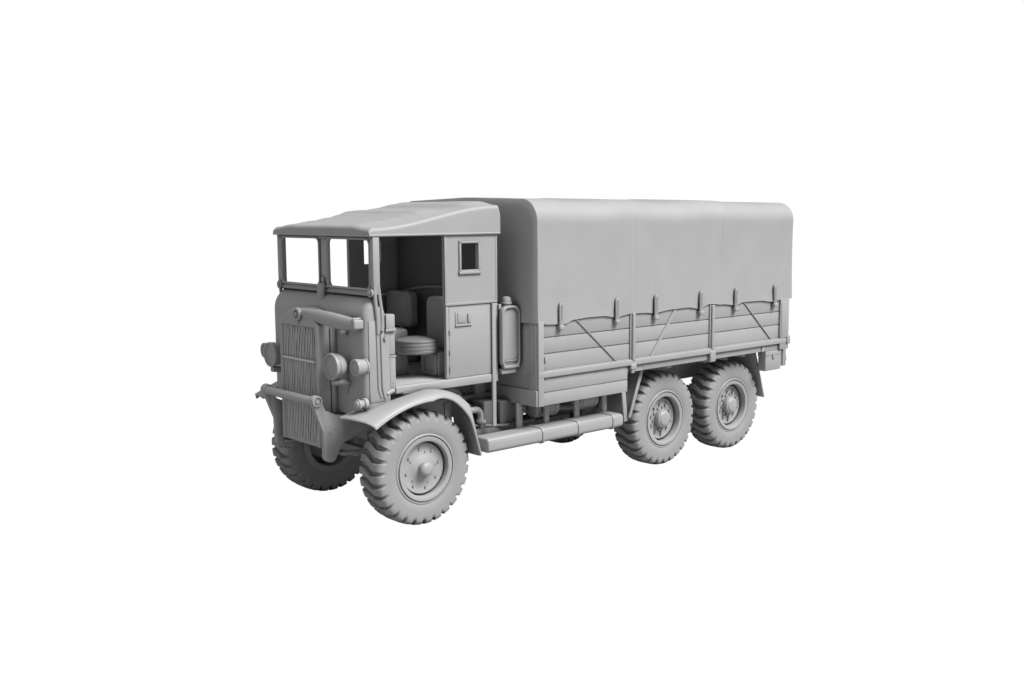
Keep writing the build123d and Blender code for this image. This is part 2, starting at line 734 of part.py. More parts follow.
def make_bogie_axle(x):
    """Driven axle: tube, round differential casing, two brake drums and the wheel spindles."""
    disc_in = BOGIE_WHEEL_Y + REAR_DISC_Y
    drum_out = disc_in - REAR_DRUM_GAP
    drum_in = drum_out - REAR_DRUM_W
    spindle = disc_in + STUB_REACH - STUB_GAP
    half = turned([
        (0, 0),
        (AXLE_TUBE_R, 0),
        (AXLE_TUBE_R, drum_in),
        (REAR_DRUM_R, drum_in),
        (REAR_DRUM_R, drum_out),
        (STUB_R, drum_out),
        (STUB_R, spindle),
        (0, spindle),
    ])
    casing = scale(Sphere(DIFF_R), (1, DIFF_FLAT, 1))
    pad_y = BOGIE_SPRING_W / 2 + 0.2
    pads = pair(block(
        (-1.5, 1.5),
        (BOGIE_SPRING_Y - pad_y, BOGIE_SPRING_Y + pad_y),
        (0, BOGIE_PAD_Z - AXLE_Z),
    ))
    return Pos(x, 0, AXLE_Z) * (pair(half) + casing + pads)


def make_bogie_axles():
    """Both driven axles of the bogie."""
    return Part() + [make_bogie_axle(MIDDLE_AXLE_X), make_bogie_axle(REAR_AXLE_X)]


def make_shafts():
    """Propeller shaft from the gearbox to the middle axle, and the short shaft between the axles."""
    middle = MIDDLE_AXLE_X - FRONT_AXLE_X
    rear = REAR_AXLE_X - FRONT_AXLE_X
    end_x = middle + DIFF_R
    end_z = AXLE_Z + SHAFT_RISE
    main = bar((GEARBOX_BACK - 0.15, 0, GEARBOX_Z), (end_x + 0.1, 0, end_z), SHAFT_R)
    for share in YOKE_SHARES:
        x = GEARBOX_BACK + (end_x - GEARBOX_BACK) * share
        z = GEARBOX_Z + (end_z - GEARBOX_Z) * share
        main += bar((x + YOKE_HALF_L, 0, z), (x - YOKE_HALF_L, 0, z), YOKE_R)
    short = bar((middle - DIFF_R, 0, end_z - 0.3), (rear + DIFF_R, 0, end_z - 0.3), SHAFT_R)
    return Part() + [main, short]


# ---------------------------------------------------------------- engine, tank, exhaust

def make_engine():
    """Plain engine block with a narrower sump, and the gearbox behind it."""
    engine = rel_block(
        (ENGINE_BACK, ENGINE_FRONT),
        (-ENGINE_HALF_W, ENGINE_HALF_W),
        (RAIL_Z0, ENGINE_Z1),
    )
    sump = rel_block(
        (ENGINE_BACK + 1, ENGINE_FRONT - 8),
        (-SUMP_HALF_W, SUMP_HALF_W),
        (ENGINE_Z0, RAIL_Z0 + 0.1),
    )
    box = rel_block(
        (GEARBOX_BACK, ENGINE_BACK + 0.1),
        (-GEARBOX_HALF, GEARBOX_HALF),
        (GEARBOX_Z - GEARBOX_HALF, GEARBOX_Z + GEARBOX_HALF),
    )
    foot_z = RAIL_Z0 + RAIL_WALL
    mounts = pair(rel_block((-2, 2), (ENGINE_HALF_W - 0.1, RAIL_IN), (foot_z, foot_z + 2.3)))
    return engine + sump + box + mounts


def make_exhaust():
    """Pipe out over the frame, back under the floor and down behind the cab step."""
    points = [(at_rel(x), y, z) for x, y, z in EXHAUST_ROUTE]
    route = FilletPolyline(*points, radius=EXHAUST_BEND)
    section = Plane(origin=points[0], z_dir=(0, 1, 0)) * Circle(EXHAUST_R)
    x, y, z = EXHAUST_END
    collar = bar((x, y, z + 2.6), (x, y, z + 1.6), EXHAUST_R + EXHAUST_COLLAR)
    return sweep(section, path=route) + collar


def make_tank():
    """Upright tank with rounded ends between cab and body, with raised rims and a filler cap."""
    middle_x = (TANK_FRONT + TANK_BACK) / 2
    middle_z = (TANK_Z0 + TANK_Z1) / 2
    width = TANK_FRONT - TANK_BACK
    height = TANK_Z1 - TANK_Z0
    inset = 2 * TANK_RIM_PROUD
    end = side_plane(middle_x, TANK_OUT, middle_z)
    tank = extrude(end * RectangleRounded(width - inset, height - inset, TANK_R), TANK_OUT - TANK_IN)
    for y in (TANK_OUT, TANK_IN + TANK_RIM_W):
        outline = RectangleRounded(width, height, TANK_R + TANK_RIM_PROUD)
        tank += extrude(side_plane(middle_x, y, middle_z) * outline, TANK_RIM_W)
    y = TANK_OUT - FILLER_IN
    return tank + bar((middle_x, y, TANK_Z1 - 0.5), (middle_x, y, TANK_Z1 + FILLER_H), FILLER_R)


def make_shelf():
    """Shelf under the tank, carried on two blocks standing on the frame rails."""
    low = TANK_Z0 - SHELF_T
    shelf = rel_block((TANK_BACK + 1.0, TANK_FRONT), (-RAIL_OUT, TANK_OUT - 0.4), (low, TANK_Z0))
    feet = pair(rel_block((TANK_BACK + 1.5, TANK_FRONT - 1), (RAIL_IN, RAIL_OUT), (RAIL_Z1, low + 0.1)))
    return shelf + feet


# ---------------------------------------------------------------- front end

def make_shell():
    """Radiator shell with an arched top, open in front for the grille, and its filler cap."""
    outline = make_face(Wire([
        Line((-SHELL_HALF_W, SHELL_Z0), (SHELL_HALF_W, SHELL_Z0)),
        Line((SHELL_HALF_W, SHELL_Z0), (SHELL_HALF_W, SHELL_SHOULDER_Z)),
        ThreePointArc((SHELL_HALF_W, SHELL_SHOULDER_Z), (0, SHELL_TOP_Z), (-SHELL_HALF_W, SHELL_SHOULDER_Z)),
        Line((-SHELL_HALF_W, SHELL_SHOULDER_Z), (-SHELL_HALF_W, SHELL_Z0)),
    ]))
    shell = front_plate(outline, CAB_FRONT, SHELL_FRONT)
    shell = fillet(shell.faces().sort_by(Axis.X)[-1].edges(), SHELL_EDGE_R)
    opening = rel_block(
        (CAB_FRONT - 1, SHELL_FRONT + 1),
        (-GRILLE_HALF_W, GRILLE_HALF_W),
        (GRILLE_Z0, GRILLE_Z1),
    )
    cap = bar((SHELL_FRONT - 2.4, 0, SHELL_TOP_Z - 1.5), (SHELL_FRONT - 0.2, 0, SHELL_TOP_Z + 0.2), CAP_R)
    collar_end = (SHELL_FRONT + 0.5, 0, SHELL_TOP_Z - 1.6)
    collar = bar((SHELL_FRONT - 1, 0, SHELL_TOP_Z - 0.8), collar_end, CAP_COLLAR_R)
    return shell - opening + cap + collar


def make_grille():
    """Radiator core with upright slats and a cross bar in front of it."""
    face = SHELL_FRONT - GRILLE_SET_BACK
    core = rel_block(
        (face - SLAT_D - CORE_T, face - SLAT_D),
        (-GRILLE_HALF_W, GRILLE_HALF_W),
        (GRILLE_Z0, GRILLE_Z1),
    )
    pitch = (2 * GRILLE_HALF_W - SLAT_W) / (SLAT_COUNT - 1)
    slats = []
    for number in range(SLAT_COUNT):
        edge = -GRILLE_HALF_W + pitch * number
        slats.append(rel_block((face - SLAT_D - 0.1, face), (edge, edge + SLAT_W), (GRILLE_Z0, GRILLE_Z1)))
    across = rel_block(
        (face - 0.5, face + GRILLE_BAR_PROUD),
        (-GRILLE_HALF_W, GRILLE_HALF_W),
        (GRILLE_BAR_Z, GRILLE_BAR_Z + GRILLE_BAR_H),
    )
    return core + slats + across


def make_blind():
    """Rolled radiator blind lying from the shell's shoulder to a bracket at the cab corner."""
    sections = []
    for rel, y, z, depth, height in BLIND_SECTIONS:
        plane = Plane(origin=(at_rel(rel), y, z), z_dir=(0, 1, 0), x_dir=(1, 0, 0))
        sections.append(plane * RectangleRounded(depth, height, depth * 0.4))
    roll = loft(sections, ruled=True)
    end_y = BLIND_SECTIONS[-1][1]
    clip = rel_block((CAB_FRONT, CAB_FRONT + 3.1), (end_y - 0.1, end_y + 0.7), BLIND_CLIP_Z)
    strap = rel_block((CAB_FRONT, CAB_FRONT + 3.4), BLIND_STRAP_Y, BLIND_STRAP_Z)
    return roll + clip + strap


def rounded_nose(x0, x1, half, z0, z1, radius):
    """Block with its upper front edge rounded."""
    nose = rel_block((x0, x1), (-half, half), (z0, z1))
    edge = nose.edges().filter_by(Axis.Y).sort_by(Axis.Z)[-2:].sort_by(Axis.X)[-1]
    return fillet(edge, radius)


def make_cab_front():
    """Front panel and scuttle in one shell, with door pillars, and the sides cut back above them."""
    wall = CAB_WALL
    shell = rounded_nose(CAB_FRONT_BACK, CAB_FRONT, CAB_HALF_W, FRONT_Z0, SCUTTLE_Z, SCUTTLE_R)
    shell -= rounded_nose(
        CAB_FRONT_BACK - 1,
        CAB_FRONT - wall,
        CAB_HALF_W - wall,
        FRONT_Z0 - 1,
        SCUTTLE_Z - wall,
        SCUTTLE_R - wall,
    )
    shell -= side_plate([
        (CAB_FRONT_BACK - 1, PILLAR_TOP),
        (SCUTTLE_BACK_LOW, PILLAR_TOP),
        (SCUTTLE_BACK_TOP, SCUTTLE_Z + 1),
        (CAB_FRONT_BACK - 1, SCUTTLE_Z + 1),
    ], -CAB_HALF_W - 1, CAB_HALF_W + 1)
    aperture = rel_block(
        (CAB_FRONT - 2, CAB_FRONT + 1),
        (-GRILLE_HALF_W, GRILLE_HALF_W),
        (FRONT_Z0 - 1, GRILLE_Z1),
    )
    pillar = rel_block(
        (CAB_FRONT_BACK - PILLAR_W, CAB_FRONT_BACK + 0.1),
        (CAB_HALF_W - PILLAR_IN, CAB_HALF_W),
        (FLOOR_Z1, PILLAR_TOP),
    )
    cover_y = (CAB_HALF_W - 0.1, CAB_HALF_W + PILLAR_BOX_PROUD)
    cover = rel_block(PILLAR_BOX, cover_y, (PILLAR_BOX_Z0, PILLAR_TOP))
    return shell - aperture + pair(pillar + cover)


def make_windscreen():
    """Two open panes in one frame, with side posts that run down over the scuttle's sides."""
    x0 = SCREEN_X - SCREEN_T
    frame = rel_block((x0, SCREEN_X), (-SCREEN_HALF_W, SCREEN_HALF_W), (SCUTTLE_Z, ROOF_Z))
    for side in (1, -1):
        pane = sorted((side * PANE_IN, side * PANE_OUT))
        hole = rel_block((x0 - 1, SCREEN_X + 1), pane, (PANE_Z0, PANE_Z1))
        rim = rel_block(
            (SCREEN_X - 0.1, SCREEN_X + SCREEN_RIM_PROUD),
            (pane[0] - SCREEN_RIM, pane[1] + SCREEN_RIM),
            (PANE_Z0 - SCREEN_RIM, PANE_Z1 + SCREEN_RIM),
        )
        frame += rim
        frame -= hole
    outer = CAB_HALF_W + SCREEN_POST_PROUD
    front = SCREEN_X + 0.4
    post = rel_block((x0 - 0.6, front), (SCREEN_HALF_W - 0.1, outer), (SCUTTLE_Z, ROOF_Z))
    foot = side_plate([
        (x0 - 0.6, SCUTTLE_Z + 0.1),
        (front, SCUTTLE_Z + 0.1),
        (front - 0.6, SCREEN_FOOT_Z),
        (x0 + 0.2, SCREEN_FOOT_Z),
    ], CAB_HALF_W, outer)
    return frame + pair(post + foot)


def make_cab_floor():
    """Cab floor with its sill edge, cut out over the engine, and blocks standing on the frame."""
    inner = CAB_HALF_W - CAB_WALL
    outer = CAB_HALF_W + SILL_T
    floor = rel_block((CAB_REAR, CAB_FRONT - CAB_WALL), (-inner, inner), (FLOOR_Z0, FLOOR_Z1))
    edge = rel_block((CAB_REAR, CAB_FRONT_BACK), (inner - 0.1, outer), (FLOOR_Z0, FLOOR_Z1))
    lip = side_plate([
        (CAB_REAR, FLOOR_Z0),
        (SILL_TIP, FLOOR_Z0),
        (CAB_FRONT_BACK - PILLAR_W, SILL_Z1),
        (CAB_REAR, SILL_Z1),
    ], CAB_HALF_W, outer)
    cover = COVER_HALF_W - COVER_WALL
    hole = rel_block((COVER_BACK + COVER_WALL, CAB_FRONT), (-cover, cover), (FLOOR_Z0 - 1, FLOOR_Z1 + 1))
    feet = Part()
    for rel in CAB_FEET:
        feet += pair(rel_block_at(rel, CAB_FOOT_HALF_L, (RAIL_IN, RAIL_OUT), (RAIL_Z1, FLOOR_Z0 + 0.1)))
    return floor + pair(edge + lip) - hole + feet


def make_cab_sides():
    """Side panels behind the doorways, each with its window, and the rear corner posts."""
    inner = CAB_HALF_W - CAB_WALL
    outer = CAB_HALF_W + SILL_T
    panel = side_plate([
        (CAB_REAR, FLOOR_Z1),
        (SIDE_FRONT_LOW, FLOOR_Z1),
        (SIDE_FRONT_HIGH, WAIST_Z),
        (SIDE_FRONT_HIGH, ROOF_Z),
        (CAB_REAR, ROOF_Z),
    ], inner, CAB_HALF_W)
    rim = rel_block(
        (WINDOW_BACK - WINDOW_RIM, WINDOW_FRONT + WINDOW_RIM),
        (CAB_HALF_W - 0.1, CAB_HALF_W + WINDOW_RIM_PROUD),
        (WINDOW_Z0 - WINDOW_RIM, WINDOW_Z1 + WINDOW_RIM),
    )
    window = rel_block((WINDOW_BACK, WINDOW_FRONT), (inner - 1, CAB_HALF_W + 1), (WINDOW_Z0, WINDOW_Z1))
    post_x = CAB_REAR - 0.3
    post = rel_block((post_x, post_x + REAR_POST_W), (outer, outer + REAR_POST_T), (REAR_POST_Z0, WAIST_Z))
    seat = rel_block((CAB_REAR, CAB_REAR + 1.0), (CAB_HALF_W - 0.1, outer + 0.1), (SILL_Z1, WAIST_Z))
    return pair(panel + rim - window + post + seat)


def make_cab_rear():
    """Rear wall between the side panels: stiff lower half with a curved top, canvas above."""
    half = CAB_HALF_W - CAB_WALL
    sheet = rel_block((CAB_REAR, CAB_REAR + REAR_SHEET_T), (-half, half), (FLOOR_Z1, ROOF_Z))
    outline = make_face(Wire([
        Line((-half, FLOOR_Z1), (half, FLOOR_Z1)),
        Line((half, FLOOR_Z1), (half, WAIST_Z)),
        ThreePointArc((half, WAIST_Z), (0, REAR_ARCH_Z), (-half, WAIST_Z)),
        Line((-half, WAIST_Z), (-half, FLOOR_Z1)),
    ]))
    return sheet + front_plate(outline, CAB_REAR + REAR_SHEET_T - 0.1, CAB_REAR + REAR_SHEET_T + 0.5)


def make_cab_roof():
    """Canvas roof stretched over the cab: a hollow wedge, higher at the back, on a flat flange."""
    wall = ROOF_WALL
    front = ROOF_FRONT - ROOF_FLANGE_T
    back = ROOF_BACK + ROOF_FLANGE_T
    front_z = ROOF_Z + ROOF_FRONT_H
    back_z = ROOF_Z + ROOF_BACK_H
    half = ROOF_HALF_W - ROOF_FLANGE_T
    canvas = side_plate([
        (back, ROOF_Z),
        (front, ROOF_Z),
        (front, front_z - 0.4),
        (front - 1.0, front_z),
        (back + 1.8, back_z),
        (back, back_z - 1.8),
    ], -half, half)
    top = [edge for edge in canvas.faces().sort_by(Axis.Z)[-1].edges() if abs(edge.center().Y) > half - 0.01]
    canvas = fillet(top, ROOF_EDGE_R)
    canvas -= side_plate([
        (back + wall, ROOF_Z - 1),
        (front - wall, ROOF_Z - 1),
        (front - wall, front_z - 0.8),
        (back + wall + 1.1, back_z - wall - 0.1),
        (back + wall, back_z - wall - 1.2),
    ], -half + wall, half - wall)
    flange = rel_block((ROOF_BACK, ROOF_FRONT), (-ROOF_HALF_W, ROOF_HALF_W), (ROOF_Z, ROOF_Z + ROOF_FLANGE_H))
    flange -= rel_block(
        (back + wall, front - wall),
        (-half + wall, half - wall),
        (ROOF_Z - 1, ROOF_Z + ROOF_FLANGE_H + 1),
    )
    return canvas + flange


def make_engine_cover():
    """Cover over the engine between the seats, open at the bottom."""
    outer = rel_block((COVER_BACK, COVER_FRONT), (-COVER_HALF_W, COVER_HALF_W), (FLOOR_Z1, COVER_TOP))
    outer = fillet(outer.edges().filter_by(Axis.X).sort_by(Axis.Z)[-2:], COVER_EDGE_R)
    half = COVER_HALF_W - COVER_WALL
    inner = rel_block(
        (COVER_BACK + COVER_WALL, COVER_FRONT - COVER_WALL),
        (-half, half),
        (FLOOR_Z1 - 1, COVER_TOP - COVER_WALL),
    )
    return outer - inner


def make_seats():
    """Two seats: box pedestal, thick round cushion, and a back with a rounded top."""
    seats = Part()
    for x, y, back_x, back_z0, back_half in SEATS:
        front = x - PEDESTAL_FRONT
        seats += rel_block(
            (front - PEDESTAL_L, front),
            (y - PEDESTAL_HALF_W, y + PEDESTAL_HALF_W),
            (FLOOR_Z1, SEAT_Z),
        )
        cushion = bar((x, y, SEAT_Z), (x, y, SEAT_Z + CUSHION_T), CUSHION_R)
        seats += fillet(cushion.faces().sort_by(Axis.Z)[-1].edges(), CUSHION_EDGE_R)
        outline = RectangleRounded(2 * back_half, BACKREST_TOP - back_z0, BACKREST_R)
        seats += front_plate(Pos(y, (BACKREST_TOP + back_z0) / 2) * outline, back_x - BACKREST_T, back_x)
        stem_x = back_x - BACKREST_T / 2
        seats += rel_block((stem_x - 0.5, stem_x + 0.5), (y - 0.8, y + 0.8), (SEAT_Z - 1.5, back_z0 + 1))
        link = (stem_x - 0.5, front - PEDESTAL_L + 0.1)
        seats += rel_block(link, (y - 0.8, y + 0.8), (SEAT_Z - 1.5, SEAT_Z))
    return seats


def make_steering_wheel():
    """Steering wheel on its column, in front of the right-hand seat."""
    column = bar(COLUMN_FOOT, STEERING_TOP, COLUMN_R)
    lean = Vector(*STEERING_TOP) - Vector(*COLUMN_FOOT)
    seat = Plane(origin=(at_rel(STEERING_TOP[0]), STEERING_TOP[1], STEERING_TOP[2]), z_dir=lean)
    rim = seat * Torus(STEERING_R, STEERING_RIM_R)
    spokes = [seat * Rot(0, 0, angle) * Box(2 * STEERING_R, 0.5, 0.4) for angle in SPOKE_ANGLES]
    hub = seat * Cylinder(1.0, 0.8)
    return column + rim + spokes + hub


# ---------------------------------------------------------------- lamps and mudguards

def lamp_shell(front, y, z, r_front, r_back, length):
    """Open-fronted lamp body that widens towards the front."""
    seat = Plane(origin=(at_rel(front - length), y, z), z_dir=(1, 0, 0))
    stations = [(0, r_back), (length * 0.6, r_front), (length, r_front)]
    shell = loft([Pos(0, 0, at) * Circle(radius) for at, radius in stations], ruled=True)
    holes = [(length * 0.35, r_back), (length * 0.6, r_front), (length + 0.1, r_front)]
    hollow = loft([Pos(0, 0, at) * Circle(radius - LAMP_WALL) for at, radius in holes], ruled=True)
    return seat * (shell - hollow)


def guard_front_arc(front_z, tip, crown):
    """Arc of the front mudguard's upper face from its tip to its crown."""
    return ThreePointArc(tip, (GUARD_FRONT_VIA, front_z), crown)


def guard_section(y, front_z, back_z, tip, crown, hip, foot):
    """Closed outline of the front mudguard's sheet in the upright plane at y."""
    low_tip = (tip[0] - GUARD_T / 2, tip[1] - GUARD_T)
    low_crown = (crown[0], crown[1] - GUARD_T)
    low_hip = (hip[0] + GUARD_T, hip[1] - GUARD_T / 2)
    low_foot = (foot[0] + GUARD_T, foot[1])
    outline = make_face(Wire([
        guard_front_arc(front_z, tip, crown),
        ThreePointArc(crown, (GUARD_BACK_VIA, back_z), hip),
        Line(hip, foot),
        Line(foot, low_foot),
        Line(low_foot, low_hip),
        ThreePointArc(low_hip, (GUARD_BACK_VIA, back_z - GUARD_T), low_crown),
        ThreePointArc(low_crown, (GUARD_FRONT_VIA, front_z - GUARD_T), low_tip),
        Line(low_tip, tip),
    ]))
    return side_plane(0, y, 0) * outline


def guard_top(rel, section):
    """Height of the front mudguard's upper face at a station ahead of its crown."""
    arch = guard_front_arc(section[1], section[3], section[4])
    centre = arch.arc_center
    return centre.Y + math.sqrt(arch.radius**2 - (rel - centre.X) ** 2)


def make_lamps():
    """Open-fronted lamps: head lamp on a bracket and side lamp each side, small lamp on the left guard."""
    lamps = Part() + [lamp_shell(*row) for row in LAMPS]
    front, y, z, r_front = LAMPS[0][:4]
    neck_x = front - LAMP_NECK_BACK
    lamps += bar((neck_x, y, z - r_front + LAMP_WALL), (neck_x, y, LAMP_FOOT_Z), LAMP_NECK_R)
    lamps += bar((CAB_FRONT, y, LAMP_FOOT_Z), (neck_x + LAMP_NECK_R, y, LAMP_FOOT_Z), LAMP_FOOT_R)
    front, y, z = SMALL_LAMP[:3]
    stem_x = front - SMALL_LAMP[5] + 0.6
    stem = bar((stem_x, y, z - 1.0), (stem_x, y, guard_top(stem_x - 0.4, GUARD_SECTIONS[1]) + 0.05), 0.4)
    return pair(lamps) + [lamp_shell(*SMALL_LAMP), stem]


def make_front_guards():
    """Front mudguards: one curved sheet over each front wheel, drooping outside, cut clear of the cab."""
    guard = loft([guard_section(*row) for row in GUARD_SECTIONS], ruled=True)
    inner_y = GUARD_SECTIONS[0][0] - 1
    under_cab = rel_block(
        (CAB_REAR, CAB_FRONT + 0.2),
        (inner_y, CAB_HALF_W + SILL_T),
        (GUARD_TOP_UNDER_CAB, SCUTTLE_Z),
    )
    guard -= under_cab
    return pair(guard)


def flap(line, y_out, stay_out, lean):
    """Slanting mudguard sheet with a stay along it."""
    (x0, z0), (x1, z1) = line
    sheet = [(x0, z0), (x0 + lean * FLAP_T, z0), (x1 + lean * FLAP_T, z1), (x1, z1)]
    stay = [(x0, z0), (x0 + lean * 1.5, z0), (x1 + lean * 1.1, z1), (x1, z1)]
    return side_plate(sheet, FLAP_IN, y_out) + side_plate(stay, stay_out - STAY_W, stay_out)


def make_rear_guards():
    """Mudguard flaps before and behind the bogie on both sides, hung from the deck."""
    front = flap(FRONT_FLAP, FRONT_FLAP_OUT, FRONT_FLAP_OUT + 0.6, 1)
    brace = side_plate(BRACE, *BRACE_Y)
    tie = rel_block(BRACE_TIE_X, BRACE_Y, BRACE_TIE_Z)
    rear = flap(REAR_FLAP, REAR_FLAP_OUT, REAR_STAY_OUT, -1)
    return pair(Part() + [front + brace + tie, rear])


def make_running_boards():
    """Thick boards with a rounded outer edge beside the frame, on hangers, with three bands."""
    width = STEP_OUT - STEP_IN
    height = STEP_Z1 - STEP_Z0
    middle = Pos((STEP_OUT + STEP_IN) / 2, (STEP_Z0 + STEP_Z1) / 2)
    board = front_plate(middle * RectangleRounded(width, height, STEP_EDGE_R), STEP_BACK, STEP_FRONT)
    grow = 2 * BAND_PROUD
    band = middle * RectangleRounded(width + grow, height + grow, STEP_EDGE_R + BAND_PROUD)
    for rel in BOARD_BANDS:
        board += front_plate(band, rel - BAND_W / 2, rel + BAND_W / 2)
    hanger_y = (STEP_IN + 0.4, STEP_IN + 0.4 + HANGER_T)
    for rel in BOARD_HANGERS:
        board += rel_block_at(rel, HANGER_W / 2, hanger_y, (STEP_Z1 - 0.5, LOW_PANEL_Z0))
    return pair(board)


# ---------------------------------------------------------------- load body

def make_body_floor():
    """Load floor between the boards and sides."""
    half = SIDE_OUT - SIDE_T
    return rel_block((BODY_REAR + BOARD_T, BODY_FRONT - BOARD_T), (-half, half), (DECK_Z0, DECK_Z1))


def make_floor_bearers():
    """Cross bearers under the load floor."""
    bearers = Part()
    for rel, reach in BEARERS:
        bearers += rel_block_at(rel, BEARER_W / 2, (-reach, reach), (DECK_Z0 - BEARER_H, DECK_Z0))
    return bearers


def make_floor_runners():
    """Two runners that stand on the frame rails and carry the bearers."""
    ends = (BODY_REAR + 1, BODY_FRONT - 1)
    return pair(rel_block(ends, (RAIL_IN, RAIL_OUT), (RAIL_Z1, DECK_Z0 - BEARER_H)))


def make_body_sides():
    """Planked sides with the bottom rail, upright posts and corner posts."""
    y0 = SIDE_OUT - 0.1
    top = TILT_Z0 - 0.1
    side = side_plate([
        (BODY_REAR, STRIP_Z0),
        (BODY_REAR, SIDE_TOP),
        (BODY_FRONT - BOARD_T, SIDE_TOP),
        (BODY_FRONT - BOARD_T, DECK_Z0),
        (STRIP_FRONT, DECK_Z0),
        (STRIP_FRONT, STRIP_Z0),
    ], SIDE_OUT - SIDE_T, SIDE_OUT)
    side += rel_block((BODY_REAR, BODY_FRONT), (y0, BODY_HALF_W), (RAIL_LOW, RAIL_HIGH))
    for rel in BODY_POSTS:
        side += rel_block_at(rel, MID_POST_W / 2, (y0, SIDE_OUT + MID_POST_PROUD), (DECK_Z0, top))
    side += rel_block((BODY_FRONT - POST_W, BODY_FRONT), (y0, BODY_HALF_W), (DECK_Z0, top))
    side += rel_block((BODY_REAR, BODY_REAR + REAR_POST_L), (y0, BODY_HALF_W), (STRIP_Z0, top))
    return pair(side)


def make_front_board():
    """Board at the front of the load space with upright ribs on its outer face."""
    half = SIDE_OUT - 0.1
    board = rel_block((BODY_FRONT - BOARD_T, BODY_FRONT), (-half, half), (DECK_Z0, TILT_Z0))
    first = -RIB_SPACING * (RIB_COUNT - 1) / 2
    for number in range(RIB_COUNT):
        rib_y = first + RIB_SPACING * number
        rib = (rib_y - RIB_HALF_W, rib_y + RIB_HALF_W)
        board += rel_block((BODY_FRONT - 0.1, BODY_FRONT + RIB_T), rib, (DECK_Z1, TILT_Z0))
    return board


def make_tailboard():
    """Tailboard between the side panels' back edges, with hinge straps."""
    half = SIDE_OUT - SIDE_T
    board = rel_block((BODY_REAR, BODY_REAR + BOARD_T), (-half, half), (DECK_Z0, SIDE_TOP))
    for y in HINGE_ROWS:
        board += rel_block(
            (BODY_REAR - HINGE_T, BODY_REAR + 0.1),
            (y - HINGE_HALF_W, y + HINGE_HALF_W),
            (DECK_Z0, SIDE_TOP - 1.5),
        )
    return board


def make_lockers():
    """Closed side lockers under the deck between the cab and the rear wheels."""
    return pair(rel_block((LOW_PANEL_BACK, BODY_FRONT), (LOCKER_IN, BODY_HALF_W), (LOW_PANEL_Z0, DECK_Z0)))


def make_reservoirs():
    """Round reservoirs strapped under the left locker."""
    tanks = Part()
    for front, back, y, radius in RESERVOIRS:
        z = LOW_PANEL_Z0 - radius - RESERVOIR_DROP
        tanks += bar((front, y, z), (back, y, z), radius)
        for rel in (front - STRAP_INSET, back + STRAP_INSET):
            tanks += rel_block_at(rel, STRAP_HALF_W, (y - radius + 0.6, y + radius - 0.6), (z, LOW_PANEL_Z0))
    return tanks


def tilt_section(grow, z0):
    """Cross-section of the tilt, drawn smaller by the given amount."""
    half = BODY_HALF_W - grow
    eave = TILT_EAVE - grow
    outline = Polygon((-half, z0), (half, z0), (half, eave), (0, TILT_TOP - grow), (-half, eave), align=None)
    corners = [vertex for vertex in outline.vertices() if abs(vertex.Y - eave) < 0.01]
    return fillet(corners, TILT_CORNER_R - grow)


def make_tilt():
    """Canvas tilt as a closed shell over the hoops, open at the back above the tailboard."""
    outer = front_plate(tilt_section(0.0, TILT_Z0), TILT_REAR, TILT_FRONT)
    inner = front_plate(tilt_section(TILT_WALL, TILT_Z0 - 1), TILT_REAR + TILT_WALL, TILT_FRONT - TILT_WALL)
    gate_z0 = TILT_Z0 - 1
    gate_z1 = SIDE_TOP + REAR_GATE_H
    gate = Pos(0, (gate_z0 + gate_z1) / 2) * Rectangle(2 * REAR_GATE_HALF_W, gate_z1 - gate_z0)
    gate = fillet(gate.vertices().sort_by(Axis.Y)[-2:], REAR_GATE_R)
    return outer - inner - front_plate(gate, TILT_REAR - 1, TILT_REAR + 2)


def make_hoops():
    """Bent hoops that stand on the sides' top edges and carry the tilt, tied by three battens."""
    reach = TILT_WALL + HOOP_CLEAR + HOOP_R
    half = BODY_HALF_W - reach
    top = TILT_EAVE - reach
    hoops = Part()
    for rel in HOOPS:
        x = at_rel(rel)
        points = [(x, -half, SIDE_TOP), (x, -half, top), (x, half, top), (x, half, SIDE_TOP)]
        route = FilletPolyline(*points, radius=TILT_CORNER_R - reach)
        hoops += sweep(Plane(origin=points[0], z_dir=(0, 0, 1)) * Circle(HOOP_R), path=route)
    for y in BATTENS:
        hoops += bar((HOOPS[0] + BATTEN_END, y, top), (HOOPS[-1] - BATTEN_END, y, top), BATTEN_R)
    return hoops


def make_tail_box():
    """Stowage box hung under the body side at the tail."""
    outer = SIDE_OUT - 0.1
    return rel_block(TAIL_BOX_X, (outer - TAIL_BOX_W, outer), (TAIL_BOX_Z0, STRIP_Z0))


def make_tail_lamps():
    """Tail lamps on arms behind the last bearer."""
    last_bearer = BEARERS[-1][0] - BEARER_W / 2
    plate_back, plate_front = LAMP_PLATE_X
    x, y, z = TAIL_LAMP
    arm = rel_block((plate_front - 0.4, last_bearer), LAMP_ARM_Y, (STRIP_Z0 - 0.6, DECK_Z0))
    plate = rel_block(LAMP_PLATE_X, LAMP_PLATE_Y, (LAMP_PLATE_Z0, DECK_Z0 - 1.0))
    lamp = bar((x, y, z), (plate_back + 0.8, y, z), TAIL_LAMP_R)
    return pair(arm + plate + lamp)


# ---------------------------------------------------------------- write every node

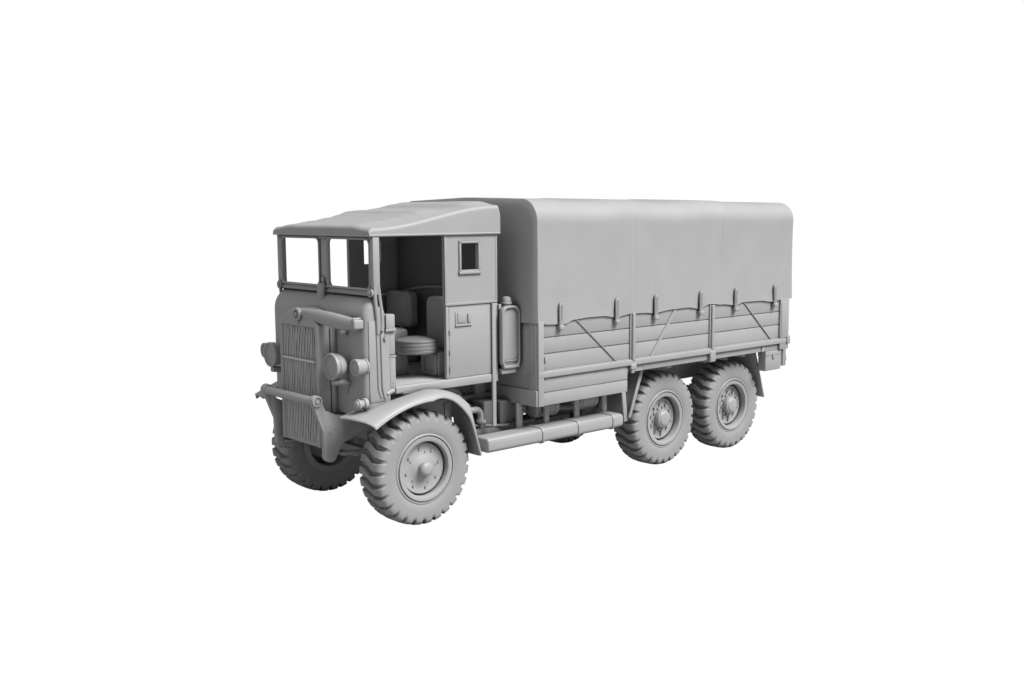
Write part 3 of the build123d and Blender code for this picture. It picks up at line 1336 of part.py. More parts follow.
def all_nodes():
    """Every node's name and shape."""
    front_wheel = make_wheel(FRONT_DISC_Y, FRONT_HUB_END, FRONT_CAP_R)
    rear_wheel = make_wheel(REAR_DISC_Y, REAR_HUB_END, REAR_CAP_R)
    tyre = make_tyre()
    rails = make_chassis()
    nodes = {
        "chassis_frame": rails,
        "cross_members": make_cross_members(rails),
        "front_bumper": make_bumper(),
        "front_axle_beam": make_front_axle(),
        "front_springs": make_front_springs(),
        "bogie_springs": make_bogie_springs(),
        "bogie_axles": make_bogie_axles(),
        "propeller_shafts": make_shafts(),
        "engine_block": make_engine(),
        "exhaust_pipe": make_exhaust(),
        "fuel_tank": make_tank(),
        "tank_shelf": make_shelf(),
        "radiator_shell": make_shell(),
        "radiator_grille": make_grille(),
        "radiator_blind": make_blind(),
        "cab_front": make_cab_front(),
        "windscreen_frame": make_windscreen(),
        "cab_floor": make_cab_floor(),
        "cab_sides": make_cab_sides(),
        "cab_rear_wall": make_cab_rear(),
        "cab_roof": make_cab_roof(),
        "engine_cover": make_engine_cover(),
        "seats": make_seats(),
        "steering_wheel": make_steering_wheel(),
        "lamps": make_lamps(),
        "front_mudguards": make_front_guards(),
        "rear_mudguards": make_rear_guards(),
        "running_boards": make_running_boards(),
        "side_lockers": make_lockers(),
        "reservoirs": make_reservoirs(),
        "body_floor": make_body_floor(),
        "floor_bearers": make_floor_bearers(),
        "floor_runners": make_floor_runners(),
        "body_sides": make_body_sides(),
        "body_front_board": make_front_board(),
        "tailboard": make_tailboard(),
        "tilt_hoops": make_hoops(),
        "tilt": make_tilt(),
        "tail_box": make_tail_box(),
        "tail_lamps": make_tail_lamps(),
        "tie_rod": make_tie_rod(),
    }
    axles = (
        ("front", FRONT_AXLE_X, FRONT_WHEEL_Y, front_wheel),
        ("middle", MIDDLE_AXLE_X, BOGIE_WHEEL_Y, rear_wheel),
        ("rear", REAR_AXLE_X, BOGIE_WHEEL_Y, rear_wheel),
    )
    for side_name, side in (("left", 1), ("right", -1)):
        nodes["knuckle_" + side_name] = make_knuckle(side)
        for axle_name, x, y, wheel in axles:
            nodes[axle_name + "_wheel_" + side_name] = placed(wheel, x, y, side)
            nodes[axle_name + "_tyre_" + side_name] = placed(tyre, x, y, side)
    return nodes


os.makedirs("parts", exist_ok=True)
for node_name, node_shape in all_nodes().items():
    export_step(node_shape, "parts/" + node_name + ".step")
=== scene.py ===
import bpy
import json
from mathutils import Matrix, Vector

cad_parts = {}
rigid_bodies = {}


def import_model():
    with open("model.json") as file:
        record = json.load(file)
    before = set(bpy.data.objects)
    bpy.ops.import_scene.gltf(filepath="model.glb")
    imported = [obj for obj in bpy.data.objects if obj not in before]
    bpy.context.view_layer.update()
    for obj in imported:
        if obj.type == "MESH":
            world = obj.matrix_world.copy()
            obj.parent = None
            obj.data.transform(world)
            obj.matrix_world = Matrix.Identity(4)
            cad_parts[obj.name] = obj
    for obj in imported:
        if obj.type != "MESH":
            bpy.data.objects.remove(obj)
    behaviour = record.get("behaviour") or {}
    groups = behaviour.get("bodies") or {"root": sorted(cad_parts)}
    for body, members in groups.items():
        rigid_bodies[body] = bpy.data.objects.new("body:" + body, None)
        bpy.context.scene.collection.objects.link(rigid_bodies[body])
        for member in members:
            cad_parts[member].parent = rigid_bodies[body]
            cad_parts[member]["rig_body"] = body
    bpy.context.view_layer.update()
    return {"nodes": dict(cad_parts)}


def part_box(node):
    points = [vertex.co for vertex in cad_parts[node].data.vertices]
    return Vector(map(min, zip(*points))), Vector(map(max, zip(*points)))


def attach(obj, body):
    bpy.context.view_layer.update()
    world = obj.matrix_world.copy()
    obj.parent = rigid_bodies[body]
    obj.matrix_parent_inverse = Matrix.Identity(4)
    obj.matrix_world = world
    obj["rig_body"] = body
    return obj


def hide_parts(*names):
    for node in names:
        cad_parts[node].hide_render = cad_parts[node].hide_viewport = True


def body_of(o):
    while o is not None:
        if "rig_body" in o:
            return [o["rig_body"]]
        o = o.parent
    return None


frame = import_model()

import bmesh
import bpy
import json
from math import atan2, cos, exp, pi, radians, sin, sqrt
from mathutils import Matrix, Vector, noise

ops = bmesh.ops


# Camera and light: the model stands on a white studio table under one broad soft
# lamp, high on its left side, so that its nose and its hollows fall into shade.
MM = 0.001
EYE = (228.36, 245.65, 81.75)
EYE_FORWARD = (-0.66091, -0.74015, -0.12403)
EYE_RIGHT = (-0.74550, 0.66649, -0.00485)
EYE_UP = (-0.08625, -0.08926, 0.99227)
LENS = 36.88
FRAME_SHIFT = (-0.0108, 0.0028)
TABLE_SIZE = 60.0
LAMP_FROM = (-0.25, 0.66, 0.80)
LAMP_POWER = 4.6
LAMP_SPREAD = 28.0
SKY = 0.40
WHITE = (1, 1, 1, 1)
TABLE_GREY = (0.25, 0.25, 0.25, 1.0)
TABLE_GLOW, TABLE_SEEN = 1.03, 0.97
scene = bpy.context.scene
camera = bpy.data.objects.new("camera", bpy.data.cameras.new("camera"))
scene.collection.objects.link(camera)
camera.data.lens = LENS
camera.data.sensor_width = 36.0
camera.data.shift_x, camera.data.shift_y = FRAME_SHIFT
camera.data.clip_start, camera.data.clip_end = 0.01, 100.0
turn = Matrix((EYE_RIGHT, EYE_UP, [-v for v in EYE_FORWARD])).transposed().to_4x4()
camera.matrix_world = Matrix.Translation(Vector(EYE) * MM) @ turn
scene.camera = camera
scene.view_settings.view_transform = "Standard"

lamp = bpy.data.objects.new("soft_lamp", bpy.data.lights.new("soft_lamp", "SUN"))
lamp.data.energy = LAMP_POWER
lamp.data.angle = radians(LAMP_SPREAD)
lamp.rotation_euler = Vector(LAMP_FROM).to_track_quat("Z", "Y").to_euler()
scene.collection.objects.link(lamp)


class Socket:
    """One output of a node, so that sums between values read as sums."""

    def __init__(self, finish, output):
        self.finish, self.output = finish, output

    def __add__(self, other):
        return self.finish.node("ShaderNodeMath", {"operation": "ADD"}, {0: self, 1: other})

    def __mul__(self, other):
        return self.finish.node("ShaderNodeMath", {"operation": "MULTIPLY"}, {0: self, 1: other})


class Finish:
    """The nodes of a material or a world; node() adds one, set() feeds its shader."""

    def __init__(self, owner, shader="Principled BSDF"):
        owner.use_nodes = True
        self.owner, self.tree = owner, owner.node_tree
        self.shader = self.tree.nodes[shader]

    def join(self, value, socket):
        if isinstance(value, Socket):
            self.tree.links.new(value.output, socket)
        else:
            socket.default_value = value

    def node(self, kind, settings, values, output=0):
        made = self.tree.nodes.new(kind)
        for name, setting in settings.items():
            if name == "stops":
                for stop, (where, grey) in zip(made.color_ramp.elements, setting):
                    stop.position, stop.color = where, (grey, grey, grey, 1.0)
            else:
                setattr(made, name, setting)
        for name, value in values.items():
            self.join(value, made.inputs[name])
        return Socket(self, made.outputs[output])

    def set(self, **values):
        for name, value in values.items():
            self.join(value, self.shader.inputs[name.replace("_", " ")])


bpy.ops.mesh.primitive_plane_add(size=TABLE_SIZE)
table = bpy.context.object
table.name = "studio_table"
white = Finish(bpy.data.materials.new("white table"))
white.set(Base_Color=TABLE_GREY, Roughness=0.9)
seen = white.node("ShaderNodeLightPath", {}, {}, "Is Camera Ray")
glow = white.node("ShaderNodeEmission", {}, {"Color": WHITE, "Strength": TABLE_GLOW})
lit = Socket(white, white.shader.outputs[0])
shade = white.node("ShaderNodeMixShader", {}, {"Fac": seen * TABLE_SEEN, 1: lit, 2: glow})
white.join(shade, white.tree.nodes["Material Output"].inputs["Surface"])
table.data.materials.append(white.owner)

scene.world = bpy.data.worlds.new("studio")
studio = Finish(scene.world, "Background")
seen = studio.node("ShaderNodeLightPath", {}, {}, "Is Camera Ray")
level = studio.node("ShaderNodeMix", {}, {"Factor": seen, "A": SKY, "B": 1.0}, "Result")
studio.set(Color=WHITE, Strength=level)


# Bare plastic: grey polystyrene, satin where the mould was polished, duller and
# grained on canvas and tyres, a few parts painted lighter or darker than the rest
# as painted light and shade. Corners and recesses are painted darker as painted shade.
GRAIN_DEPTH, PAINTED_SHADE_REACH = 0.00005, 0.0025


def moulded(name, grey, rough, grain, mottle=0.03):
    """Plastic of one grey, slightly mottled, with painted shade darkening its corners."""
    finish = Finish(bpy.data.materials.new(name))
    place = finish.node("ShaderNodeTexCoord", {}, {}, "Object")
    cloud = finish.node("ShaderNodeTexNoise", {}, {
        "Vector": place, "Scale": 90.0, "Detail": 3.0, "Roughness": 0.55})
    fine = finish.node("ShaderNodeTexNoise", {}, {
        "Vector": place, "Scale": 1800.0, "Detail": 2.0, "Roughness": 0.6})
    tone = finish.node("ShaderNodeValToRGB", {
        "stops": [(0.3, grey * (1 - mottle)), (0.7, grey * (1 + mottle))]}, {"Fac": cloud})
    bump = finish.node("ShaderNodeBump", {}, {
        "Strength": grain, "Distance": GRAIN_DEPTH, "Height": fine})
    # Ambient occlusion paints shade into the base colour in corners and recesses.
    shade_occlusion = finish.node("ShaderNodeAmbientOcclusion", {"samples": 12}, {"Distance": PAINTED_SHADE_REACH}, "AO")
    painted_corner_shade = finish.node("ShaderNodeValToRGB", {"stops": [(0.2, 0.2), (0.82, 1.0)]}, {"Fac": shade_occlusion})
    finish.set(Base_Color=tone * painted_corner_shade, Roughness=cloud * 0.12 + (rough - 0.06), Normal=bump)
    return finish.owner


PANEL = moulded("grey plastic panel", 0.36, 0.46, 0.25)
RUBBER = moulded("grey plastic tyre", 0.31, 0.55, 0.45)
AXLE = (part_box("front_tyre_left")[0][0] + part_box("front_tyre_left")[1][0]) / 2 / MM
SHARP = radians(32)


def stand(name, mesh, body, nodes, material=PANEL, slot="grey_plastic"):
    """Put a finished mesh in the scene as a piece of the model."""
    mesh.shade_smooth()
    mesh.set_sharp_from_angle(angle=SHARP)
    mesh.materials.clear()
    mesh.materials.append(material)
    obj = bpy.data.objects.new(name, mesh)
    scene.collection.objects.link(obj)
    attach(obj, body)
    if nodes:
        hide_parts(*nodes)


def weld(bm, dist=0.001):
    """Join points that lie together."""
    ops.remove_doubles(bm, verts=bm.verts, dist=dist)


def mesh_of(name, bm):
    """Mesh of a finished drawing."""
    mesh = bpy.data.meshes.new(name)
    bm.to_mesh(mesh)
    bm.free()
    return mesh


def piece(name, bm, *nodes, **look):
    """Close a mesh drawn in mm from the front axle and stand it in for nodes of the truck."""
    weld(bm, 0.0005)
    place = Matrix.Scale(MM, 4) @ Matrix.Translation((AXLE, 0, 0))
    ops.transform(bm, matrix=place, verts=bm.verts)
    ops.recalc_face_normals(bm, faces=bm.faces)
    stand(name, mesh_of(name, bm), "truck", nodes, **look)


WHEELS = [(axle, side) for axle in ("front", "middle", "rear") for side in (1, -1)]
HAND = {1: "left", -1: "right"}
OUTWARD = {1: Matrix.Identity(4), -1: Matrix.Rotation(pi, 4, "Z")}


def on_wheel(kind, drawn, part, axle, side, **look):
    """Stand a copy of a mesh drawn at the origin, face towards +Y, in for a part of one wheel."""
    mesh, hand = drawn.copy(), HAND[side]
    low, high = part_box(f"{axle}_tyre_{hand}")
    middle = (Vector(low) + Vector(high)) / 2
    mesh.transform(Matrix.Translation(middle) @ OUTWARD[side] @ Matrix.Scale(MM, 4))
    stand(f"{axle}_{kind}_{hand}", mesh, f"{axle}_{hand}_wheel", [f"{axle}_{part}_{hand}"], **look)


# Tyres: bar treads moulded in plastic, 28 bent bars a side, half a pitch apart,
# with narrow notches that run out on the shoulders. Each is pressed on its rim.
BARS = 28
CARCASS = [(4.4, 9), (4.62, 9.35), (4.85, 10.1), (4.98, 11), (5, 11.9), (4.96, 12.7), (4.75, 13.4),
           (4.2, 13.95), (3.3, 14.15), (2.2, 14.2), (1.1, 14.25), (0, 14.25)]
LUGS = CARCASS[:5] + [(4.98, 12.8), (4.88, 13.7), (4.6, 14.45), (3.95, 14.95), (2.9, 15.2), (1.5, 15.3),
                      (0, 15.3)]
WALL_Y = 5
NOTCH_END_R, NOTCH_RUN = 12.6, 0.8
NOTCH, NOTCH_SIDE = 0.21, 0.035  # parts of a pitch
BEND, BEND_Y = 0.25, 1.9
STEPS_ROUND = BARS * 20
STEPS_ACROSS = 64


def along(profile, share):
    """Point at a share of the way along a profile of (y, r) points."""
    at = share * (len(profile) - 1)
    first = min(int(at), len(profile) - 2)
    return Vector(profile[first]).lerp(Vector(profile[first + 1]), at - first)


def clamp(value):
    return max(0, min(1, value))


def soft_step(value, low, high):
    t = clamp((value - low) / (high - low))
    return t * t * (3 - 2 * t)


def tyre_mesh():
    """A grid rolled into a tyre, sunk between the bars."""
    bm = bmesh.new()
    ops.create_grid(bm, x_segments=STEPS_ROUND, y_segments=STEPS_ACROSS, size=0.5)
    for vert in bm.verts:
        pitch, across = (vert.co.x + 0.5) * BARS, vert.co.y * 2
        side = 1 if across > 0 else -1
        low, high = along(CARCASS, 1 - abs(across)), along(LUGS, 1 - abs(across))
        y = high.x * side
        bend = BEND * max(-1, min(1, y / BEND_Y))
        off_bar = abs((pitch + bend + 0.5) % 1 - 0.5)
        run_out = clamp((high.y - NOTCH_END_R) / NOTCH_RUN)
        notch = 0.5 - NOTCH * sqrt(run_out) * (1.15 - 0.45 * abs(y) / WALL_Y)
        sunk = soft_step(off_bar, notch - NOTCH_SIDE, notch + NOTCH_SIDE) if run_out > 0 else 0
        width, radius = high.lerp(low, sunk)
        angle = 2 * pi * pitch / BARS
        vert.co = (radius * sin(angle), width * side, -radius * cos(angle))
    weld(bm)
    ops.bridge_loops(bm, edges=[edge for edge in bm.edges if edge.is_boundary])
    ops.recalc_face_normals(bm, faces=bm.faces)
    return mesh_of("tyre", bm)


tyre = tyre_mesh()
for axle, side in WHEELS:
    on_wheel("tread", tyre, "tyre", axle, side, material=RUBBER, slot="tyre_plastic")


# Wheels: pressed dish wheels with a thick rim band. The front hubs carry a small
# round cap in a ring of bolt marks, the rear ones a barrel with studs round it.
FRONT_WHEEL = [  # radius and y along the section
    (0, 5.9), (1, 5.86), (1.55, 5.62), (1.85, 5.2), (1.9, 3.95), (2.1, 3.75), (2.9, 3.6), (3.3, 3.35),
    (4.6, 3.1), (5.9, 3.1), (6.35, 3.3), (6.75, 3.3), (6.95, 3.05), (7.1, 2.2), (7.3, 2), (7.3, 4.55),
    (7.45, 4.8), (7.8, 4.95), (8.5, 4.95), (8.62, 4.6), (8.8, 4.55), (8.95, 4.85), (9.2, 4.85), (9.4, 4.7),
    (9.4, 4.4), (9, 4.4)]
REAR_WHEEL = [
    (0, 5), (1.6, 4.97), (2.05, 4.85), (2.3, 4.55), (2.75, 4.4), (2.95, 4.1), (3, 2.75), (3.35, 2.6),
    (4, 2.55), (5.9, 2.45), (6.5, 2.7), (6.8, 2.6), (7, 2.1), (7.3, 1.9), (7.3, 4.45), (7.45, 4.7),
    (7.8, 4.85), (8.5, 4.85), (8.62, 4.5), (8.8, 4.45), (8.95, 4.75), (9.2, 4.8), (9.4, 4.65), (9.4, 4.4),
    (9, 4.4)]
RIM_BACK = [(9, -4.4), (9.4, -4.4), (9.4, -4.75), (7.6, -4.85), (7.3, -4.6)]
BARREL_R, STUB_R, STUB_DEPTH = 7.3, 1, 2.2
FORWARD, UPRIGHT = Matrix.Rotation(-pi / 2, 4, "Z"), Matrix.Rotation(pi / 2, 4, "X")
FACING = {"X": Matrix.Rotation(pi / 2, 4, "Y"), "Y": Matrix.Rotation(-pi / 2, 4, "X")}


def spun(bm, profile, steps=72, at=(0, 0, 0), turned=Matrix.Identity(4)):
    """Turn a profile of (radius, y) points about its Y axis, set at a point and turned."""
    place = Matrix.Translation(at) @ turned
    verts = [bm.verts.new(place @ Vector((radius, y, 0))) for radius, y in profile]
    edges = [bm.edges.new(ends) for ends in zip(verts, verts[1:])]
    axis = place.to_3x3() @ Vector((0, 1, 0))
    ops.spin(bm, geom=verts + edges, cent=place.translation, axis=axis, angle=2 * pi, steps=steps,
                   use_merge=True, use_duplicate=False)


def peg(bm, x, y, z, radius, length, axis="Y", sides=12, tip=0.8):
    """Round peg standing up from a point along an axis, its far end a little narrower."""
    place = Matrix.Translation((x, y, z)) @ FACING[axis] @ Matrix.Translation((0, 0, length / 2))
    ops.create_cone(bm, cap_ends=True, segments=sides, radius1=radius, radius2=radius * tip,
                          depth=abs(length), matrix=place)


def wheel_mesh(profile, disc_y, inner_y, marks):
    """Spun wheel with its closed back, and marks as (count, circle, radius, height, first angle)."""
    bm = bmesh.new()
    stub_y = inner_y + STUB_DEPTH
    spun(bm, profile + RIM_BACK + [(BARREL_R, inner_y), (STUB_R, inner_y), (STUB_R, stub_y), (0, stub_y)])
    weld(bm)
    for count, circle, radius, height, first in marks:
        for number in range(count):
            angle = radians(first + 360 * number / count)
            peg(bm, circle * sin(angle), disc_y - 0.1, circle * cos(angle), radius, height + 0.1)
    ops.recalc_face_normals(bm, faces=bm.faces)
    return mesh_of("wheel", bm)


FRONT_MARKS = [(8, 5.3, 0.34, 0.35, 10), (8, 2.6, 0.3, 0.35, 30), (5, 4.3, 0.28, 0.3, 60)]
REAR_MARKS = [(10, 4.7, 0.42, 0.7, 5), (10, 3.6, 0.32, 0.55, 22), (5, 5.6, 0.3, 0.45, 40)]
front_wheel = wheel_mesh(FRONT_WHEEL, 3.1, 2.4, FRONT_MARKS)
rear_wheel = wheel_mesh(REAR_WHEEL, 2.5, 1.8, REAR_MARKS)
for axle, side in WHEELS:
    dish = front_wheel if axle == "front" else rear_wheel
    on_wheel("dish", dish, "wheel", axle, side)


# Tilt: canvas moulded as one thin shell. It hangs taut over the hoops, sinks a
# little between them, shows a seam at each body post and is drawn down by loops.
HALF_W, HEM_Z, EAVE_Z, TOP_Z, SHOULDER_R = 32.3, 51.2, 85.3, 86, 6.5
TILT_X = (-35.5, -159.1)
GATE_HALF_W, GATE_TOP, GATE_R = 24, 76, 3
CANVAS_T = 0.6
EDGE_ROUND = 0.6  # how far the front and back edges curl over
LOOP_X = [-44.6, -67.7, -85.2, -107.1, -125.5, -147.7]
LOOP_PULL, LOOP_REACH = 2.2, 9
SEAMS_X = [-75.4, -117.6]
SEAM_W = 0.5
SWELL = [  # x, and how far the canvas stands out there
    (-35.5, 0.45), (-40, 0.55), (-52.5, 0.05), (-60, 0.05), (-70, 0.5), (-77, 0.45), (-87, -0.25),
    (-93, -0.3), (-102, 0), (-112, 0.4), (-119, 0.3), (-128, -0.2), (-140, -0.4),
    (-159.1, -0.3)]
HEM_LIFT = [  # x, and how far the hem is drawn up there
    (-35.5, 0.1), (-41, -0.5), (-46.5, -0.8), (-50, 0.2), (-56, 0.5), (-62, 0.45), (-67.7, -0.3),
    (-74, 0.3), (-80, 0.2), (-85.2, -0.2), (-93, 0.4), (-101, 0.5), (-107.1, -0.3), (-112, 0.9),
    (-119, 0.4), (-125.5, -0.2), (-131, 0.5), (-139, 0.4), (-147.7, -0.4), (-152, 0.1), (-159.1, 0.2)]


def level_at(table, x):
    """Smoothly blended value of a table of (x, value) that runs down in x."""
    for (x0, low), (x1, high) in zip(table, table[1:]):
        if x >= x1:
            return low + (high - low) * soft_step(x0 - x, 0, x0 - x1)
    return table[-1][1]


def fold(x, y, z, size, amount):
    """Soft random crease."""
    return amount * noise.noise(Vector((x, y, z)) / size)


def bumps(x, centres, width):
    """Sum of soft bumps of a width, one at each centre."""
    return sum(exp(-((x - centre) / width) ** 2) for centre in centres)


def shell(bm, thickness):
    """Give a drawn skin its thickness."""
    ops.recalc_face_normals(bm, faces=bm.faces)
    ops.solidify(bm, geom=bm.faces[:], thickness=thickness)


def arch(half, low, top, crown, radius):
    """Half outline of an arch as (y, z) points from the left foot over to the middle."""
    points = [(half, low + (top - radius - low) * step / 24) for step in range(24)]
    for step in range(13):
        turn = pi / 2 * step / 12
        points.append((half - radius + radius * cos(turn), top - radius + radius * sin(turn)))
    flat = half - radius
    return points + [(flat * (1 - step / 14), top + (crown - top) * step / 14) for step in range(1, 15)]


def tilt_mesh():
    """A grid bent over the hoops, its front rows drawn in to a wall and its back rows to the gate."""
    outer = arch(HALF_W, HEM_Z, EAVE_Z, TOP_Z, SHOULDER_R)
    gate = arch(GATE_HALF_W, HEM_Z, GATE_TOP, GATE_TOP, GATE_R)
    front_rows, side_rows, back_rows = 30, 260, 8
    rows, columns = front_rows + side_rows + back_rows, 2 * (len(outer) - 1)
    bm = bmesh.new()
    ops.create_grid(bm, x_segments=rows, y_segments=columns, size=0.5)
    for vert in bm.verts:
        row, column = round((vert.co.x + 0.5) * rows), round((vert.co.y + 0.5) * columns) - columns // 2
        side = -1 if column > 0 else 1
        y, z = outer[columns // 2 - abs(column)]
        down = clamp((EAVE_Z - z) / (EAVE_Z - HEM_Z))
        if row < front_rows:
            share = row / front_rows
            y, z = y * share, HEM_Z + (z - HEM_Z) * share
            x = TILT_X[0] + 0.15 - 0.75 * max(0, 1 - (1 - share) * 18) ** 2
            x += fold(side * y * 0.6, z * 0.35, 3, 5, 0.5) * min(1, (1 - share) * 8)
            z += SWELL[0][1] * share * (1 - down)
        elif row > front_rows + side_rows:
            share = (row - front_rows - side_rows) / back_rows
            gate_y, gate_z = gate[columns // 2 - abs(column)]
            z += level_at(SWELL, TILT_X[1]) * (1 - down) * (1 - share)
            y, z = y + (gate_y - y) * share, z + (gate_z - z) * share
            x = TILT_X[1] + EDGE_ROUND * (1 - min(1, share * 4)) ** 2
            x += fold(y, z, side, 6, 0.15) * share * (1 - share) * 4
        else:
            share = (row - front_rows) / side_rows
            x = TILT_X[0] - EDGE_ROUND + (TILT_X[1] - TILT_X[0] + 2 * EDGE_ROUND) * share
            swell = level_at(SWELL, x)
            z += swell * (1 - down) + level_at(HEM_LIFT, x) * max(0, 1 - (z - HEM_Z) / 7)
            hang = sin(pi * down) ** 0.7
            y += (0.3 * swell - 0.25) * hang + fold(x, z * 0.45, side * 4, 7, 0.22) * hang
            y -= 0.16 * bumps(x, SEAMS_X, SEAM_W) * (1 - abs(2 * down - 1) ** 8)
            y += 0.14 * bumps(x - 0.9, SEAMS_X, SEAM_W) * hang
            pull = bumps(x, LOOP_X, LOOP_PULL) * max(0, 1 - (z - HEM_Z) / LOOP_REACH)
            y += fold(x * 1.4, z * 0.5, 9, 3, 0.5) * pull - 0.1 * pull
        vert.co = (x, side * y, z)
    weld(bm)
    shell(bm, CANVAS_T)
    return bm


CANVAS = moulded("grey plastic canvas", 0.36, 0.52, 0.5)
piece("canvas_tilt", tilt_mesh(), "tilt", material=CANVAS, slot="canvas_plastic")


# Lashing loops: a bent rope loop moulded over the hem at each hook on the body
# side. Each is a slim loop round a groove, with its hook as a block at the foot.
def rod(bm, points, radius, sides=8):
    """Round rod through points, its ends closed."""
    path = [Vector(point) for point in points]
    before = None
    for number, at in enumerate(path):
        heading = path[min(number + 1, len(path) - 1)] - path[max(number - 1, 0)]
        turned = Matrix.Translation(at) @ heading.to_track_quat("Z", "Y").to_matrix().to_4x4()
        ends = number in (0, len(path) - 1)
        ring = ops.create_circle(bm, cap_ends=ends, segments=sides, radius=radius, matrix=turned)
        edges = list({edge for vert in ring["verts"] for edge in vert.link_edges})
        if before:
            ops.bridge_loops(bm, edges=before + edges)
        before = edges


def soften(bm, edges, width, segments=2, **limits):
    """Round edges off."""
    ops.bevel(bm, geom=edges, affect="EDGES", offset=width, segments=segments, profile=0.5,
                    material=-1, **limits)


def slab(bm, low, high, edge=0.15, segments=2):
    """Block between two corners with softened edges."""
    low, high = Vector(low), Vector(high)
    size = Vector([abs(v) for v in high - low])
    place = Matrix.Translation((low + high) / 2) @ Matrix.Diagonal(size).to_4x4()
    verts = ops.create_cube(bm, size=1, matrix=place)["verts"]
    if edge > 0:
        edges = list({link for vert in verts for link in vert.link_edges})
        soften(bm, edges, min(edge, 0.45 * min(size)), segments, clamp_overlap=True)


def slabs(bm, rows):
    """Blocks from rows of one corner, the other corner, and the edge's width and segments."""
    for x0, y0, z0, x1, y1, z1, *edge in rows:
        slab(bm, (x0, y0, z0), (x1, y1, z1), *edge)


def both_sides(bm):
    """Mirror everything drawn so far to the other side of the truck."""
    ops.mirror(bm, geom=bm.verts[:] + bm.edges[:] + bm.faces[:], axis="Y", merge_dist=-1)
    return bm


bm = bmesh.new()
ROPE_R, BEND_R, BEND_Z = 0.42, 0.75, 55.5
for x in LOOP_X:
    y = HALF_W + 0.35
    for sign in (-1, 1):
        leg = x + sign * ROPE_R
        rod(bm, [(x + sign * 0.3, y, 50.2), (leg, y + 0.05, 52), (leg, y, BEND_Z)], ROPE_R)
    turns = [pi * number / 6 for number in range(7)]
    rod(bm, [(x + ROPE_R * cos(turn), y, BEND_Z + BEND_R * sin(turn)) for turn in turns], ROPE_R)
    slab(bm, (x - 1, HALF_W - 0.7, 48.9), (x + 0.9, y + 0.65, 50.3), 0.35, 3)
    rod(bm, [(x, y + 0.1, 50), (x, y + 0.2, 51.8)], ROPE_R)
piece("lashing_loops", both_sides(bm), material=CANVAS, slot="canvas_plastic")


# Body sides: planks with a fine gap between them on a backing, two posts, a
# corner post at each end, a bottom rail with brackets, and three thin braces.
SIDE_Y = 31.7
BODY_FRONT_X = -36.2
PLANKS = [(37.4, 42.35), (42.6, 46.95), (47.2, 54)]
LOW_PLANKS = [(27.7, 31.3), (31.55, 35.9)]
POSTS_X = [-75.4, -113.7]
BRACES = [((-51, 51.7), (-68.3, 37.6)), ((-131, 51.5), (-147, 37.6))]
SLANT = (17.6, 14.1)  # run and rise of the flat middle brace
bm = bmesh.new()
slab(bm, (-157, 30.5, 33.6), (-37.2, 31.45, 54), 0)
for low, high in PLANKS:
    slab(bm, (-156.9, 31.2, low), (-37.2, SIDE_Y, high), 0.1)
for x in POSTS_X:
    slab(bm, (x - 1.25, 31.5, 37.3), (x + 1.25, 32.15, 51.8))
    slab(bm, (x - 0.65, 31.9, 37), (x + 0.65, 32.75, 51.7), 0.35, 3)
slabs(bm, [
    (-156.9, 31.2, 33.6, -80.5, SIDE_Y - 0.15, 36.2), (-157, 31.3, 35.7, BODY_FRONT_X, 32.5, 37.5, 0.28, 3),
    (-157, 31.3, 37.2, BODY_FRONT_X, 32, 37.8), (-115.2, 31.2, 32.9, -112.3, 32.8, 36.8, 0.45, 3),
    (-76.7, 31.2, 34.3, -74.1, 32.75, 36.3, 0.4, 3), (-76.1, 31.2, 33.2, -74.7, 32.4, 34.6, 0.3, 3),
    (-38.2, 31, 27.7, -36.15, 32.45, 51.8), (-156.9, 31.2, 33.6, -151.7, 32.35, 51.8),
    (-156.4, 32.1, 37.6, -152.2, 32.55, 50.5, 0.2), (-157.4, 31.2, 35.4, -155.4, 32.9, 38.4, 0.4, 3),
    (-39.7, SIDE_Y - 0.1, 40, -38.9, SIDE_Y + 0.35, 41.5)])
for (x0, z0), (x1, z1) in BRACES:
    rod(bm, [(x0, SIDE_Y + 0.15, z0), (x1, SIDE_Y + 0.15, z1)], 0.26)
lean = Matrix.Rotation(atan2(*SLANT) - pi / 2, 4, "Y")
lean = Matrix.Translation((-89.8, SIDE_Y + 0.08, 44.6)) @ lean @ Matrix.Diagonal((1.1, 0.3, 19.6)).to_4x4()
ops.create_cube(bm, size=1, matrix=lean)
piece("planked_sides", both_sides(bm), "body_sides")


# Side lockers: two planks on a closed box under the load floor, its front end
# finished with a broad band that runs in towards the frame.
bm = bmesh.new()
slab(bm, (-73.3, 14, 27.8), (-36.2, 31.5, 36), 0)
for low, high in LOW_PLANKS:
    slab(bm, (-73.5, 31.2, low), (-36.3, SIDE_Y, high), 0.1)
slab(bm, (-36.5, 14, 27.7), (-35.55, 32.1, 32.3), 0.2)
slab(bm, (-73.6, 15, 27.9), (-73.1, 31.5, 35.8), 0.1)
piece("locker_boxes", both_sides(bm), "side_lockers")


# Front board: one thick board with seven upright ribs and a flat strip along
# each corner, glued between the sides.
bm = bmesh.new()
slab(bm, (-37.2, -31.6, 36), (-36.2, 31.6, 51.2), 0.1)
for number in range(7):
    y = -30 + 10 * number
    slab(bm, (-36.3, y - 0.6, 37.2), (-35.6, y + 0.6, 51.2))
for side in (-1, 1):
    slab(bm, (-36.3, side * 28.4, 32.2), (-35.85, side * 31.7, 51.2), 0.12)
piece("ribbed_front_board", bm, "body_front_board")


